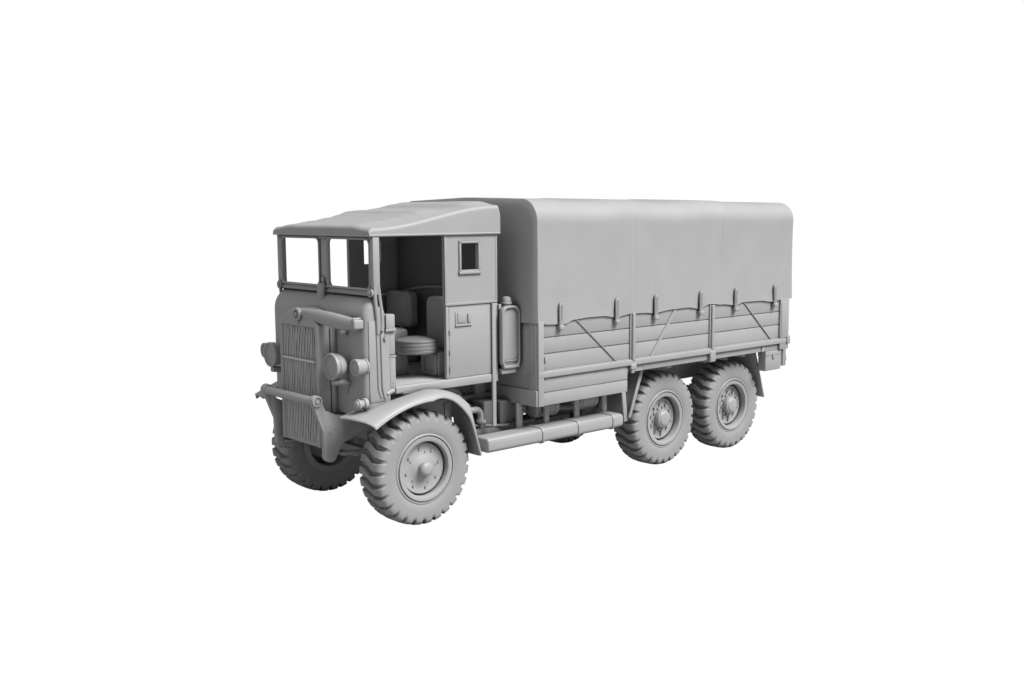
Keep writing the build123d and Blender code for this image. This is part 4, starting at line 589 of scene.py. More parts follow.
# Tailboard: three planks between the sides, with hinge straps and their pins.
bm = bmesh.new()
slab(bm, (-156.8, -30.5, 36), (-155.5, 30.5, 54), 0)
for low, high in ((36, 41.9), (42.15, 47.9), (48.15, 54)):
    slab(bm, (-157, -30.5, low), (-156.4, 30.5, high), 0.1)
for y in (-20, 0, 20):
    slab(bm, (-157.5, y - 0.8, 36.2), (-156.9, y + 0.8, 52.5), 0.2)
    rod(bm, [(-157.35, y - 1.5, 36.6), (-157.35, y + 1.5, 36.6)], 0.5)
    for z in (39.5, 45, 50.8):
        peg(bm, -157.3, y, z, 0.3, -0.5, "X")
piece("planked_tailboard", bm, "tailboard")


# Stowage box and tail lamps: a plain box with a lid edge and a catch under the
# left side, and behind it, on both sides, a round lamp on a rounded plate.
bm = bmesh.new()
slabs(bm, [
    (-153.5, 28.4, 26.5, -144.5, 31.6, 33.6, 0.25), (-153.7, 28.3, 31.6, -144.3, 31.75, 33.5, 0.25),
    (-149.6, 31.5, 30.6, -148.4, 32, 32.4)])
rod(bm, [(-142.6, 30.9, 34.4), (-142.6, 31.9, 34.4)], 0.9, 12)
piece("stowage_box", bm, "tail_box")
bm = bmesh.new()
slab(bm, (-158.6, 26.4, 33), (-154, 27.6, 36), 0.2)
slab(bm, (-159.4, 26.4, 27), (-158.2, 30, 35), 0.5, 3)
peg(bm, -159.3, 28.2, 29.5, 1.35, -0.9, "X", 24, 0.9)
peg(bm, -160, 28.2, 29.5, 0.95, -0.3, "X", 24, 0.7)
slab(bm, (-159.9, 27.2, 31.8), (-159.2, 29.4, 33.6), 0.2)
for x in (-155.4, -157.3):
    rod(bm, [(x, 29.6, 27.2), (x, 29.7, 28), (x, 29.7, 32.6), (x, 29.6, 34)], 0.75, 12)
slab(bm, (-157.9, 28.9, 33), (-154.7, 30.4, 33.8), 0.3)
piece("tail_lamp_sets", both_sides(bm), "tail_lamps")


# Cab front: one moulded shell with a broad rounded scuttle, its lower side
# panels a shade proud, two beads down each side and the narrow door pillar.
CAB_Y = 23.6


def only(parts, test):
    """Edges or faces whose corners all pass a test."""
    return [part for part in parts if all(test(vert.co) for vert in part.verts)]


bm = bmesh.new()
size = Matrix.Diagonal((7.4, 2 * CAB_Y, 31.2)).to_4x4()
ops.create_cube(bm, size=1, matrix=Matrix.Translation((11.4, 0, 45.8)) @ size)
nose = only(bm.edges, lambda v: v.x > 15 and v.z > 61)
soften(bm, nose, 6, 14)
for side in (1, -1):
    rim = [edge for edge in only(bm.edges, lambda v: v.y * side > CAB_Y - 0.01)
           if all(v.co.x > 7.8 or v.co.z > 61 for v in edge.verts)]
    soften(bm, rim, 1.7, 5)
open_faces = only(bm.faces, lambda v: v.x < 7.72) + only(bm.faces, lambda v: v.z < 30.3)
ops.delete(bm, geom=open_faces, context="FACES")
CUT_X, CUT_Z, CUT_LEAN = 9, 56.4, 0.32
for foot, across in (((0, 0, CUT_Z), (0, 0, 1)), ((CUT_X, 0, CUT_Z), (-1, 0, CUT_LEAN))):
    every = bm.verts[:] + bm.edges[:] + bm.faces[:]
    ops.bisect_plane(bm, geom=every, plane_co=foot, plane_no=across)
middles = [(face, face.calc_center_median()) for face in bm.faces]
cut = [face for face, at in middles if at.z > CUT_Z and at.x < CUT_X + CUT_LEAN * (at.z - CUT_Z)]
ops.delete(bm, geom=cut, context="FACES")
shell(bm, 0.8)
half = bmesh.new()
slabs(half, [
    (9.3, 23.3, 34, 14, 23.78, 55, 0.12), (5.8, 22, 36.6, 7.7, CAB_Y, 45.6, 0.3, 3),
    (5.9, 22, 45.75, 7.7, CAB_Y - 0.1, 52.6, 0.2), (5.7, 22, 45.1, 7.8, CAB_Y + 0.15, 45.6, 0.12),
    (6.2, 22.2, 52, 9, 24.15, 56.3, 0.3), (6, 23.4, 51.9, 9.2, 24.3, 52.6)])
for x, low in ((11.6, 35.2), (10.4, 34.8)):
    rod(half, [(x - 0.9, CAB_Y + 0.15, low), (x - 0.25, CAB_Y + 0.2, 37.5), (x, CAB_Y + 0.2, 51.5)], 0.38)
peg(half, 9.2, 23.4, 50.1, 0.55, 0.9, sides=16)
for z in (37.3, 38.4):
    peg(half, 6.8, 23.5, z, 0.16, 0.3)
bm.from_mesh(mesh_of("pillars", both_sides(half)))
slabs(bm, [(14.9, 14.4, 35.6, 15.35, 15.5, 42.2, 0.12), (15, 7.3, 27.5, 15.3, 7.7, 36.5, 0.08),
           (15, 9.6, 45.5, 16.1, 10.1, 52.5, 0.08)])
piece("scuttle_shell", bm, "cab_front")


# Windscreen: two open frames with rounded corners in one outer frame, two thin
# bars along the foot, a centre clamp, and posts that sweep down on the scuttle.
def rounded(width, height, radius, steps=6):
    """Corner-rounded rectangle about the origin as (a, b) points."""
    points = []
    for quarter, (a, b) in enumerate(((1, 1), (-1, 1), (-1, -1), (1, -1))):
        for step in range(steps + 1):
            turn = pi / 2 * (quarter + step / steps)
            points.append((a * (width / 2 - radius) + radius * cos(turn),
                           b * (height / 2 - radius) + radius * sin(turn)))
    return points


def loop_of(bm, points):
    """Closed wire through points."""
    verts = [bm.verts.new(point) for point in points]
    return [bm.edges.new(ends) for ends in zip(verts, verts[1:] + verts[:1])]


def extruded(bm, faces, shift, **how):
    """Pull a thickness out of faces."""
    grown = ops.extrude_face_region(bm, geom=faces, **how)["geom"]
    verts = [part for part in grown if isinstance(part, bmesh.types.BMVert)]
    ops.translate(bm, verts=verts, vec=shift)


def frame_plate(bm, x0, x1, y, z, outer, inner, edge=0.12):
    """Plate facing forward at x1 round a hole; outer and inner are (width, height, radius)."""
    rings = []
    for shape in (outer, inner):
        rings += loop_of(bm, [(x1, y + a, z + b) for a, b in rounded(*shape)])
    faces = ops.bridge_loops(bm, edges=rings)["faces"]
    extruded(bm, faces, (x0 - x1, 0, 0))
    front = {part for face in faces if face.is_valid for part in face.edges
             if len(part.link_faces) == 2 and part.calc_face_angle(0) > 1.2}
    if edge:
        soften(bm, list(front), edge)


SCREEN_Y, SCREEN_Z = 12.15, 69.1
bm = bmesh.new()
slab(bm, (11.2, -1.7, 61.6), (12.2, 1.7, 76))
for side in (-1, 1):
    frame_plate(bm, 11.2, 12.2, side * SCREEN_Y, SCREEN_Z, (22, 14, 0.3), (20.6, 12.9, 1.6))
    frame_plate(bm, 12, 12.6, side * SCREEN_Y, SCREEN_Z, (21, 13.5, 1.8), (19.9, 12.3, 1.4))
    slab(bm, (11.1, side * 2, 61), (12.4, side * 22.8, 62.3), 0.25)
    rod(bm, [(12.5, side * 1.6, 62.7), (12.5, side * 22.6, 62.7)], 0.3)
    rod(bm, [(12.3, side * 1.6, 61.5), (12.3, side * 23, 61.5)], 0.35)
    rod(bm, [(11.6, side * 23.1, 62), (13.1, side * 23.1, 62)], 1.15, 20)
    rod(bm, [(12.9, side * 23.1, 62), (13.4, side * 23.1, 62)], 0.55, 16)
    slab(bm, (10.6, side * 22.7, 61.5), (12.6, side * 24.3, 76.1), 0.2)
    foot = [(12.25, 63.5), (12.25, 61), (12, 58.5), (11.65, 55.5), (11.55, 51.5)]
    rod(bm, [(x - 0.15, side * 23.95, z) for x, z in foot], 0.5, 10)
    back = [(11, 63.5), (10.7, 60.5), (10.3, 58), (10.1, 55.5), (10.1, 52.2)]
    rod(bm, [(x, side * 23.95, z) for x, z in back], 0.5, 10)
    slab(bm, (10.1, side * 23.5, 52.2), (11.5, side * 24.1, 58.5), 0.1)
slab(bm, (11, -23.2, 75.3), (12.4, 23.2, 76.1))
rod(bm, [(12.6, 0, 58.6), (13, 0, 60.6), (12.7, 0, 63.4)], 1.35, 16)
rod(bm, [(12.3, 0, 63), (12.3, 0, 65)], 0.75, 12)
piece("windscreen_frames", bm, "windscreen_frame")


# Cab sides: door-like lower panel with latch and hinge marks, and a side screen
# above it, thicker at its hem, with a framed window. The corner post runs down.
def window_wall(bm, xs, zs, y0, y1):
    """Wall between y0 and y1 with one opening, from four x and four z lines."""
    verts = ops.create_grid(bm, x_segments=3, y_segments=3, size=0.5)["verts"]
    for vert in verts:
        column, row = round((vert.co.x + 0.5) * 3), round((vert.co.y + 0.5) * 3)
        vert.co = (xs[column], y1, zs[row])
    faces = {face for vert in verts for face in vert.link_faces}
    middle = [face for face in faces if xs[1] < face.calc_center_median().x < xs[2]
              and zs[1] < face.calc_center_median().z < zs[2]]
    ops.delete(bm, geom=middle, context="FACES")
    extruded(bm, [face for face in faces if face.is_valid], (0, y0 - y1, 0))
    ops.dissolve_limit(bm, angle_limit=0.01, verts=bm.verts, edges=bm.edges)


bm = bmesh.new()
window_wall(bm, (-28.5, -21.7, -15.6, -10.2), (57.3, 66.6, 73.9, 76.1), 22.8, 23.85)
slabs(bm, [
    (-28.4, 23.5, 57.2, -10.3, 24, 58, 0.2), (-28.5, 23.5, 57.6, -27.9, 23.98, 76),
    (-10.8, 23.5, 57.6, -10.2, 23.98, 76), (-28.5, 22.8, 36.6, -10.5, CAB_Y, 57.2),
    (-27, 23.4, 37.6, -11.6, 23.72, 56.6, 0.1), (-22.5, 23.5, 65.9, -14.9, 24.3, 66.7, 0.18),
    (-22.3, 23.5, 73.8, -15, 24.3, 74.5, 0.18), (-22.3, 23.5, 66, -21.6, 24.3, 74.4, 0.18),
    (-15.7, 23.5, 66, -15, 24.3, 74.4, 0.18), (-22.6, 23.5, 65.5, -14.8, 24.5, 66.3, 0.22),
    (-19, 23.6, 51.8, -13.6, 23.95, 55.5), (-16.9, 23.8, 52.4, -14.3, 24.15, 55.1, 0.2),
    (-18.6, 23.8, 52.3, -17.7, 24.35, 54.9, 0.3), (-19.3, 23.7, 51.5, -13.5, 24.2, 52.1, 0.2),
    (-11.3, 23.2, 37.5, -10.5, 23.85, 57.1, 0.2), (-28.5, 23.5, 36.9, -26.4, 23.92, 57.1, 0.12),
    (-27.5, 23.7, 22.4, -26.2, 24.4, 57.1, 0.2)])
for z in (39.9, 44.6, 50):
    rod(bm, [(-11.75, 23.75, z - 0.5), (-11.75, 23.75, z + 0.5)], 0.3)
for z in (41.2, 50.6):
    peg(bm, -27.3, 23.8, z, 0.18, 0.3)
piece("cab_side_panels", both_sides(bm), "cab_sides")


# Cab floor: flat and painted pale as painted light, with a thick rolled sill under the doorway.
bm = bmesh.new()
slabs(bm, [(-28.4, 7, 35.4, 14.2, 22.8, 37.3, 0.05), (-28.4, -22.8, 35.5, -9.1, 22.7, 37.2, 0.05),
           (-28.4, -22.8, 35.4, 14.2, -7, 37.3, 0.05)])
piece("painted_light_floor", bm, material=moulded("painted_light_panel", 0.46, 0.5, 0.25, 0.06))
bm = bmesh.new()
slab(bm, (-28.5, -22.9, 35.2), (14, 22.9, 36.4), 0.05)
for side in (-1, 1):
    slab(bm, (-28.6, side * 22.4, 35.3), (6.2, side * 23.95, 37.4), 0.45, 4)
    slab(bm, (-28.7, side * 22.45, 35), (4, side * 23.9, 36), 0.3, 3)
    rod(bm, [(6.4, side * 23.1, 36.4), (7.6, side * 23.1, 36.1), (8.6, side * 23.1, 35.6)], 0.75, 12)
    for x in (9, -20):
        slab(bm, (x - 1.2, side * 10, 29.5), (x + 1.2, side * 12, 35.6), 0.1)
piece("floor_and_sills", bm, "cab_floor")


# Cab rear wall: canvas above a stiff curved panel whose top edge is rolled.
bm = bmesh.new()
slab(bm, (-28.5, -22.8, 36.6), (-27.9, 22.8, 76.1), 0)
arc = [(y, 60.4 - 3.3 * (y / 22.8) ** 2) for y in [22.8 * n / 12 for n in range(-12, 13)]]
edges = loop_of(bm, [(-27.3, y, z) for y, z in arc] + [(-27.3, 22.8, 36.6), (-27.3, -22.8, 36.6)])
extruded(bm, ops.contextual_create(bm, geom=edges)["faces"], (-0.6, 0, 0))
# Rear wall and frame gear are painted dark grey as painted shade, for the shadowed inside of the cab and the
# shade under the body.
PAINTED_SHADE_PANEL = moulded("painted_shade_panel", 0.14, 0.55, 0.3)
piece("rear_wall", bm, "cab_rear_wall", material=PAINTED_SHADE_PANEL)
bm = bmesh.new()
rod(bm, [(-27.2, y, z) for y, z in arc], 0.45)
piece("rear_wall_roll", bm)


# Cab roof: canvas drawn over two bows, so it steps up twice towards the back,
# with a soft crease along each side and a rolled hem all round.
ROOF_Z, ROOF_Y = 76.1, 24.4
ROOF_X = (13.7, -29.3)
CROWN = [(13.7, 78.6), (12.1, 79.1), (5.7, 80), (0.5, 80.8), (-3.6, 81.7), (-6, 82.6), (-9, 82.9),
         (-14.6, 82.9), (-18, 83.2), (-21.9, 84.6), (-25.5, 85.2), (-29.3, 85.2)]
CREASE = [(13.7, 77.6), (12.7, 78.3), (-27.5, 83.9), (-29.3, 84)]
CREASE_R, SHOULDER = 0.9, 0.125
FRONT_ROUND, BACK_ROUND = 0.5, 0.6


def roof_mesh():
    """A grid folded over the cab: side walls, soft shoulders, and front and back walls."""
    wall_rows, top_rows, side_columns, top_columns = 8, 110, 10, 56
    rows, columns = 2 * wall_rows + top_rows, 2 * side_columns + top_columns
    bm = bmesh.new()
    ops.create_grid(bm, x_segments=rows, y_segments=columns, size=0.5)
    for vert in bm.verts:
        row, column = round((vert.co.x + 0.5) * rows), round((vert.co.y + 0.5) * columns)
        along_top = max(0, min(top_rows, row - wall_rows)) / top_rows
        x = ROOF_X[0] - 0.5 + (ROOF_X[1] - ROOF_X[0] + 1.2) * along_top
        crown, crease = level_at(CROWN, x), level_at(CREASE, x)
        edge = min(column, columns - column)
        side = -1 if column * 2 > columns else 1
        if edge <= side_columns:
            y, z = ROOF_Y, ROOF_Z + (crease - CREASE_R - ROOF_Z) * edge / side_columns
        else:
            reach = (edge - side_columns) / (top_columns / 2)
            turn = pi / 2 * min(1, reach / SHOULDER)
            inward = max(0, reach - SHOULDER) / (1 - SHOULDER)
            y = ROOF_Y - CREASE_R * (1 - cos(turn)) - (ROOF_Y - CREASE_R) * inward
            z = crease - CREASE_R + CREASE_R * sin(turn)
            z += (crown - crease) * soft_step(ROOF_Y - y, 0.5, 9)
            z += fold(x, y * side, 0, 6, 0.12) * min(1, reach * 2)
        wall = max(0, wall_rows - row, row - wall_rows - top_rows) / wall_rows
        z = ROOF_Z + (z - ROOF_Z) * (1 - wall)
        drop = max(0, 1 - wall * 3) ** 2
        if row <= wall_rows:
            x = ROOF_X[0] - FRONT_ROUND * drop
        elif row >= wall_rows + top_rows:
            x = ROOF_X[1] + BACK_ROUND * drop
        vert.co = (x, side * y, z)
    weld(bm)
    shell(bm, 0.7)
    return bm


bm = roof_mesh()
BACK_X, FRONT_X, HEM_Y = -29.1, 13.5, 24.2
corners = [(FRONT_X, HEM_Y), (BACK_X, HEM_Y), (BACK_X, -HEM_Y), (FRONT_X, -HEM_Y), (FRONT_X, HEM_Y)]
for (x0, y0), (x1, y1) in zip(corners, corners[1:]):
    rod(bm, [(x0, y0, ROOF_Z + 0.3), (x1, y1, ROOF_Z + 0.3)], 0.36)
piece("canvas_roof", bm, "cab_roof", material=CANVAS, slot="canvas_plastic")


# Engine cover and seats: a box between thick round cushions with ribbed edges.
# Each seat has a panelled pedestal and a padded back with a folded edge.
def slid(bm, outline, x0, x1, edge, segments=3):
    """Plate with an outline of (y, z) points, its front edges at x1 rounded."""
    edges = loop_of(bm, [(x1, y, z) for y, z in outline])
    face = ops.contextual_create(bm, geom=edges)["faces"]
    extruded(bm, face, (x0 - x1, 0, 0), use_keep_orig=True)
    soften(bm, edges, edge, segments)


bm = bmesh.new()
slabs(bm, [(-9.8, -7.6, 36.6, 11, 7.6, 50, 0.9, 4), (-7.5, 7.3, 38.5, -1, 7.85, 47, 0.3),
           (1, 7.3, 38.5, 8.5, 7.85, 47, 0.3), (-8, -6, 49.7, 9, 6, 50.25, 0.2)])
rod(bm, [(-8.2, 7.4, 44.5), (-8.2, 8.1, 44.5)], 0.6, 12)
piece("cover_over_engine", bm, "engine_cover")
SEATS = [  # x, y, height and radius of the cushion, then the back's x, middle y, lower edge and half width
    (-7.6, 14.2, 44.1, 5.9, -17, 13.2, 42, 7.2),
    (-14, -15, 42.4, 5.6, -22.4, -15.4, 48, 6.6),
]
SEAT_FLOOR_Z, BACK_TOP_Z = 36.6, 58.7
CUSHION_R = 6.25
CUSHION = [(0, 4.55), (3, 4.4), (5, 4.05), (5.75, 3.75), (6.1, 3.7), (CUSHION_R, 3.45), (6.1, 3.15),
           (6.05, 2.9), (CUSHION_R, 2.7), (CUSHION_R, 2.2), (6.1, 2.05), (CUSHION_R, 1.85), (CUSHION_R, 1.2),
           (6.1, 1), (6.2, 0.8), (6.1, 0.3), (5.6, 0), (0, 0)]
bm, cushions = bmesh.new(), bmesh.new()
for x, y, low, radius, back_x, back_y, back_z, half_w in SEATS:
    front, stem = x - 4.4, back_x - 1.2
    slab(bm, (front - 8, y - 4.2, SEAT_FLOOR_Z), (front, y + 4.2, low), 0.3)
    frame_plate(bm, front - 0.2, front + 0.35, y, 40.6, (7, 6, 0.5), (4.8, 4, 0.7), 0)
    spun(cushions, [(r * radius / CUSHION_R, z) for r, z in CUSHION], 48, (x, y, low), UPRIGHT)
    tall, middle_z = BACK_TOP_Z - back_z, (back_z + BACK_TOP_Z) / 2
    back = [(back_y + a, middle_z + b) for a, b in rounded(2 * half_w, tall, 2.2)]
    slid(bm, back, back_x - 2.4, back_x, 0.6)
    pad = half_w - 1.2
    slabs(bm, [(back_x - 0.3, back_y - pad, back_z + 1, back_x + 0.25, back_y + pad, 57.4, 0.35, 3),
               (stem - 0.5, y - 0.8, low - 1.5, stem + 0.5, y + 0.8, back_z + 1),
               (stem - 0.5, y - 0.8, low - 1.5, front - 7.9, y + 0.8, low, 0.1)])
piece("padded_seats", bm, "seats")
# The cushions are painted dark grey as painted shade inside the cab.
piece("round_cushions", cushions, material=moulded("painted_shade_seat", 0.2, 0.55, 0.3))


# Radiator shell: one moulding with a low arched top and soft front edges, open
# for the grille. On it a round cap with its hub and a narrow front badge.
def lofted(bm, rings):
    """Skin over closed rings of points, the first and last one closed."""
    loops = [loop_of(bm, ring) for ring in rings]
    for first, second in zip(loops, loops[1:]):
        ops.bridge_loops(bm, edges=first + second)
    for edges in (loops[0], loops[-1]):
        ops.contextual_create(bm, geom=edges)


SHELL_Y, SHELL_FOOT = 10, 20.9
MOUTH_Y, MOUTH_TOP = 8.35, 52.4
mouth = [(-MOUTH_Y, SHELL_FOOT), (-MOUTH_Y, MOUTH_TOP), (MOUTH_Y, MOUTH_TOP), (MOUTH_Y, SHELL_FOOT)]
across = [SHELL_Y - 2 * SHELL_Y * number / 24 for number in range(25)]
arch_top = [(y, 53.2 + 4 * (1 - (y / SHELL_Y) ** 2)) for y in across]
bm = bmesh.new()
slid(bm, [(SHELL_Y, SHELL_FOOT)] + arch_top + [(-SHELL_Y, SHELL_FOOT)] + mouth, 15.2, 20.7, 0.55, 4)
slab(bm, (17, -8.6, SHELL_FOOT), (20.3, 8.6, 22), 0.3, 3)
slab(bm, (20.5, -0.5, 52.9), (20.95, 0.9, 54.3))
CAP = [(0, 1.2), (0.5, 1.15), (0.65, 0.7), (0.95, 0.65), (1.15, 1), (1.5, 1), (1.75, 0.75), (1.8, 0.2),
       (1.5, 0), (1.3, -1.5), (0, -1.5)]
spun(bm, CAP, 32, (20.6, 0.9, 55.7), FORWARD)
piece("radiator_surround", bm, "radiator_shell")


# Radiator grille: thin upright wires, none quite straight as the mould left
# them, with a cross bar, well in front of a core painted near black as painted shadow.
PAINTED_SHADOW_CORE = moulded("painted_shadow_panel", 0.04, 0.6, 0.3)
bm = bmesh.new()
slab(bm, (16.6, -8.5, 21.5), (18.2, 8.5, 52.6), 0)
for y in (-10.03, 9.93):
    slab(bm, (16.85, y, 30), (17.25, y + 0.1, 52.3), 0)
# The core is painted near black, as painted shadow behind the wires.
piece("radiator_core", bm, material=PAINTED_SHADOW_CORE)
bm = bmesh.new()
WIRES, GRILLE_Z = 20, (21.9, MOUTH_TOP)
for number in range(WIRES):
    y = -8 + 16 * number / (WIRES - 1)
    wire = []
    for step in range(11):
        z = GRILLE_Z[0] + (GRILLE_Z[1] - GRILLE_Z[0]) * step / 10
        wire.append((20.15 + 0.12 * noise.noise(Vector((number * 3.1, z, 4))),
                     y + 0.16 * noise.noise(Vector((number * 1.7, z * 0.35, 0))), z))
    rod(bm, wire, 0.21, 6)
slab(bm, (19.9, -8.3, 43.2), (20.75, 8.3, 43.9), 0.2)
for z in (26.5, 33, 38, 48):
    rod(bm, [(19.9, -8.2, z), (19.9, 8.2, z)], 0.13, 6)
# The wires are painted a lighter grey as painted highlight, against the shade under the shell.
piece("grille_wires", bm, "radiator_grille", material=moulded("painted_highlight_wire", 0.6, 0.45, 0.25))


# Radiator blind: a canvas roll that swells towards its outer end, held by a
# clip at the cab corner and a tab below, all moulded on the front panel.
BLIND = [  # x, y and z of the roll's middle, its depth and its height
    (20.6, 2.4, 56, 0.4, 0.7), (20.6, 3.6, 56, 0.6, 1.1), (20.2, 6, 55.85, 0.85, 1.5),
    (19.5, 10, 55.4, 1, 1.9), (18.6, 14, 54.9, 1.05, 2.05), (17.6, 18, 54.4, 1, 1.9),
    (16.9, 21, 54.2, 0.95, 1.6), (16.5, 22.4, 54.2, 0.85, 1.35), (16.4, 22.9, 54.2, 0.5, 0.8)]
bm = bmesh.new()
turns = [2 * pi * number / 20 for number in range(20)]
lofted(bm, [[(x + deep * cos(turn), y, z + high * sin(turn) + fold(y, turn, 0, 1, 0.12))
             for turn in turns] for x, y, z, deep, high in BLIND])
slabs(bm, [(15, 21.5, 52.5, 17.6, 22.2, 55.9, 0.3, 3), (15, 22.1, 53, 17.9, 23.2, 55.4, 0.4, 3),
           (15, 14.7, 51.3, 17.3, 15.8, 52.9, 0.25), (15, 14.9, 50.6, 15.9, 15.6, 51.6)])
piece("blind_roll", bm, "radiator_blind")


# Front bumper: a plain round bar between the horns, its ends closed by a round
# washer with a sunk bolt head.
WASHER = [(0, 1.95), (0.5, 1.95), (0.6, 1.7), (0.95, 1.65), (1.05, 1.95), (1.35, 1.9), (1.5, 1.65),
          (1.5, 0.2), (1.35, -0.3), (0, -0.3)]
bm = bmesh.new()
rod(bm, [(23.6, -13, 34.1), (23.6, 0, 34.1), (23.6, 13, 34.1)], 1.15, 24)
for side in (1, -1):
    spun(bm, WASHER, 32, (23.45, side * 12, 34.25), OUTWARD[side])
    for x, z in ((19.6, 25.6), (17.7, 26.4)):
        peg(bm, x, side * 13.2, z, 0.42, side * 0.35)
    slab(bm, (15, side * 9.9, 28), (17.2, side * 11, 29.4), 0.3)
piece("bumper_bar", bm, "front_bumper")


# Lamps: head lamp with a rim and dished glass on a foot, a tapering side lamp,
# and a small domed lamp low on the left of the panel.
HEAD = [(0, -0.7), (1.6, -0.75), (2.6, -0.6), (2.85, -0.35), (2.95, -0.05), (3.2, 0), (3.4, -0.1),
        (3.5, -0.45), (3.4, -0.9), (3.15, -1), (3.15, -1.25), (3.3, -1.4), (3.2, -1.9), (2.95, -2.6),
        (2.5, -3.3), (1.9, -3.9), (1.2, -4.05), (0, -4.1)]
SIDE_LAMP = [(0, -0.45), (1.5, -0.4), (1.7, -0.1), (1.95, 0), (2.15, -0.1), (2.2, -0.5), (2.1, -0.7),
             (2.1, -1.4), (1.95, -2.2), (1.9, -2.9), (2.1, -3), (2.1, -3.4), (0, -3.4)]
MARKER = [(0, 0.1), (0.6, 0), (1, -0.3), (1.1, -0.6), (1.4, -0.65), (1.45, -1), (1.25, -1.25),
          (1.1, -1.7), (1.1, -2.2), (1.5, -2.4), (1.5, -3.3), (0, -3.3)]
bm = bmesh.new()
spun(bm, HEAD, 48, (20.75, 15.9, 43.25), FORWARD)
spun(bm, SIDE_LAMP, 40, (18.4, 23.4, 43.5), FORWARD)
rod(bm, [(19.3, 15.9, 40.6), (19.2, 15.9, 39.2)], 0.55, 12)
rod(bm, [(20, 15.9, 39.2), (18, 15.9, 38.9), (15, 15.9, 38.3)], 0.85, 16)
both_sides(bm)
spun(bm, MARKER, 32, (18.4, 23.5, 34), FORWARD)
rod(bm, [(16.4, 23.5, 33.4), (16.4, 23.5, 32.4)], 0.4)
piece("lamp_set", bm, "lamps")


# Front mudguards: one thin swept sheet over each wheel with a rolled outer lip,
# cut away beneath the cab so that the floor sits down on it.
GUARD = [  # y, z at x 9 and x -9, then x and z of the tip, the crown, the hip and the foot
    (20, 33.6, 34.7, (20.9, 30.8), (-3, 35.6), (-14.6, 32.6), (-17.3, 16.5)),
    (24, 33.8, 34.8, (20.1, 30.9), (-3, 35.7), (-14.6, 32.6), (-17.3, 16.5)),
    (28.6, 34.1, 34.3, (18.8, 30.5), (-0.5, 35.9), (-14.3, 30.8), (-17.3, 16.5)),
    (29.9, 33.8, 33.6, (18, 29.9), (-0.5, 35.3), (-13.6, 30), (-17.1, 16.6)),
    (30.7, 33.2, 32.7, (17.5, 29.4), (-0.5, 34.6), (-12.9, 29.1), (-16.6, 16.8)),
    (31, 32.6, 31.9, (17.3, 28.9), (-0.5, 34), (-12.4, 28.3), (-16.3, 17)),
]


def through(points, x):
    """Height at x on the parabola through three (x, z) points."""
    total = 0
    for number, (x0, z0) in enumerate(points):
        share = z0
        for other, (x1, _) in enumerate(points):
            if other != number:
                share *= (x - x1) / (x0 - x1)
        total += share
    return total


def guard_line(row):
    """Points down the mudguard at one section, from its tip to its foot."""
    y, front_z, back_z, tip, crown, hip, foot = row
    points = []
    for steps, arc in ((24, (tip, (9, front_z), crown)), (18, (crown, (-9, back_z), hip))):
        for step in range(1 if points else 0, steps + 1):
            x = arc[0][0] + (arc[2][0] - arc[0][0]) * step / steps
            points.append((x, y, through(arc, x)))
    for step in range(1, 13):
        x = hip[0] + (foot[0] - hip[0]) * (step / 12) ** 0.8
        points.append((x, y, hip[1] + (foot[1] - hip[1]) * step / 12))
    return points


bm = bmesh.new()
lines = [guard_line(row) for row in GUARD]
INNER_Y, CUT_BELOW = 23.95, (15.3, 31.5)
for side in (1, -1):
    chains = []
    for line in lines:
        verts = []
        for x, y, z in line:
            inside = y < INNER_Y and x < CUT_BELOW[0] and z > CUT_BELOW[1]
            verts.append(bm.verts.new((x, side * (INNER_Y if inside else y), z)))
        chains.append([bm.edges.new(ends) for ends in zip(verts, verts[1:])])
    for first, second in zip(chains, chains[1:]):
        ops.bridge_loops(bm, edges=first + second)
weld(bm, 0.02)
shell(bm, 0.5)
for side in (1, -1):
    rod(bm, [(x, side * (y - 0.15), z - 0.1) for x, y, z in lines[-1]], 0.32)
    tips = [line[0] for line in lines]
    rod(bm, [(x - 0.2, side * y, z - 0.2) for x, y, z in tips], 0.32)
piece("swept_mudguards", bm, "front_mudguards")


# Running boards: thick moulded boards with rounded edges and ends, crossed by
# three straps and hung from the load body.
BOARD_Y, BOARD_Z, BOARD = 27.3, 18.8, (6.9, 4.1, 1.3)


def grown(shape, by, steps=6):
    """Corner-rounded rectangle of a (width, height, radius), grown or shrunk."""
    width, height, radius = shape
    return rounded(width + 2 * by, height + 2 * by, max(0.3, radius + by), steps)


def board_ring(x, by):
    return [(x, BOARD_Y + a, BOARD_Z + b) for a, b in grown(BOARD, by)]


bm = bmesh.new()
BOARD_ENDS = [(-19.2, -0.35), (-19.4, -0.1), (-19.7, 0), (-72.2, 0), (-72.8, -0.2), (-73.2, -0.7)]
STRAP = [(-0.55, -0.1), (-0.5, 0.22), (-0.3, 0.34), (0.3, 0.34), (0.5, 0.22), (0.55, -0.1)]
lofted(bm, [board_ring(x, by) for x, by in BOARD_ENDS])
for x in (-39.6, -53.9, -68.6):
    lofted(bm, [board_ring(x + at, by) for at, by in STRAP])
rod(bm, [(-19.6, 30.5, 20.15), (-72.4, 30.5, 20.15)], 0.16, 6)
for x, width in ((-35.6, 1), (-46.2, 0.9), (-58.6, 1), (-70.5, 0.9)):
    slab(bm, (x - width, 24.3, 20.3), (x + width, 25.1, 28.2))
peg(bm, -19.3, 29.2, 19.2, 0.5, -0.4, "X")
piece("thick_running_boards", both_sides(bm), "running_boards")


# Bogie guard stays: a flat stay before the front flap on each side.
bm = bmesh.new()
stay = Matrix.Translation((-76.6, 27.4, 23.6)) @ Matrix.Rotation(radians(7), 4, "Y")
ops.create_cube(bm, size=1, matrix=stay @ Matrix.Diagonal((1.7, 0.7, 12.5)).to_4x4())
soften(bm, bm.edges[:], 0.15)
piece("bogie_guard_stays", both_sides(bm))


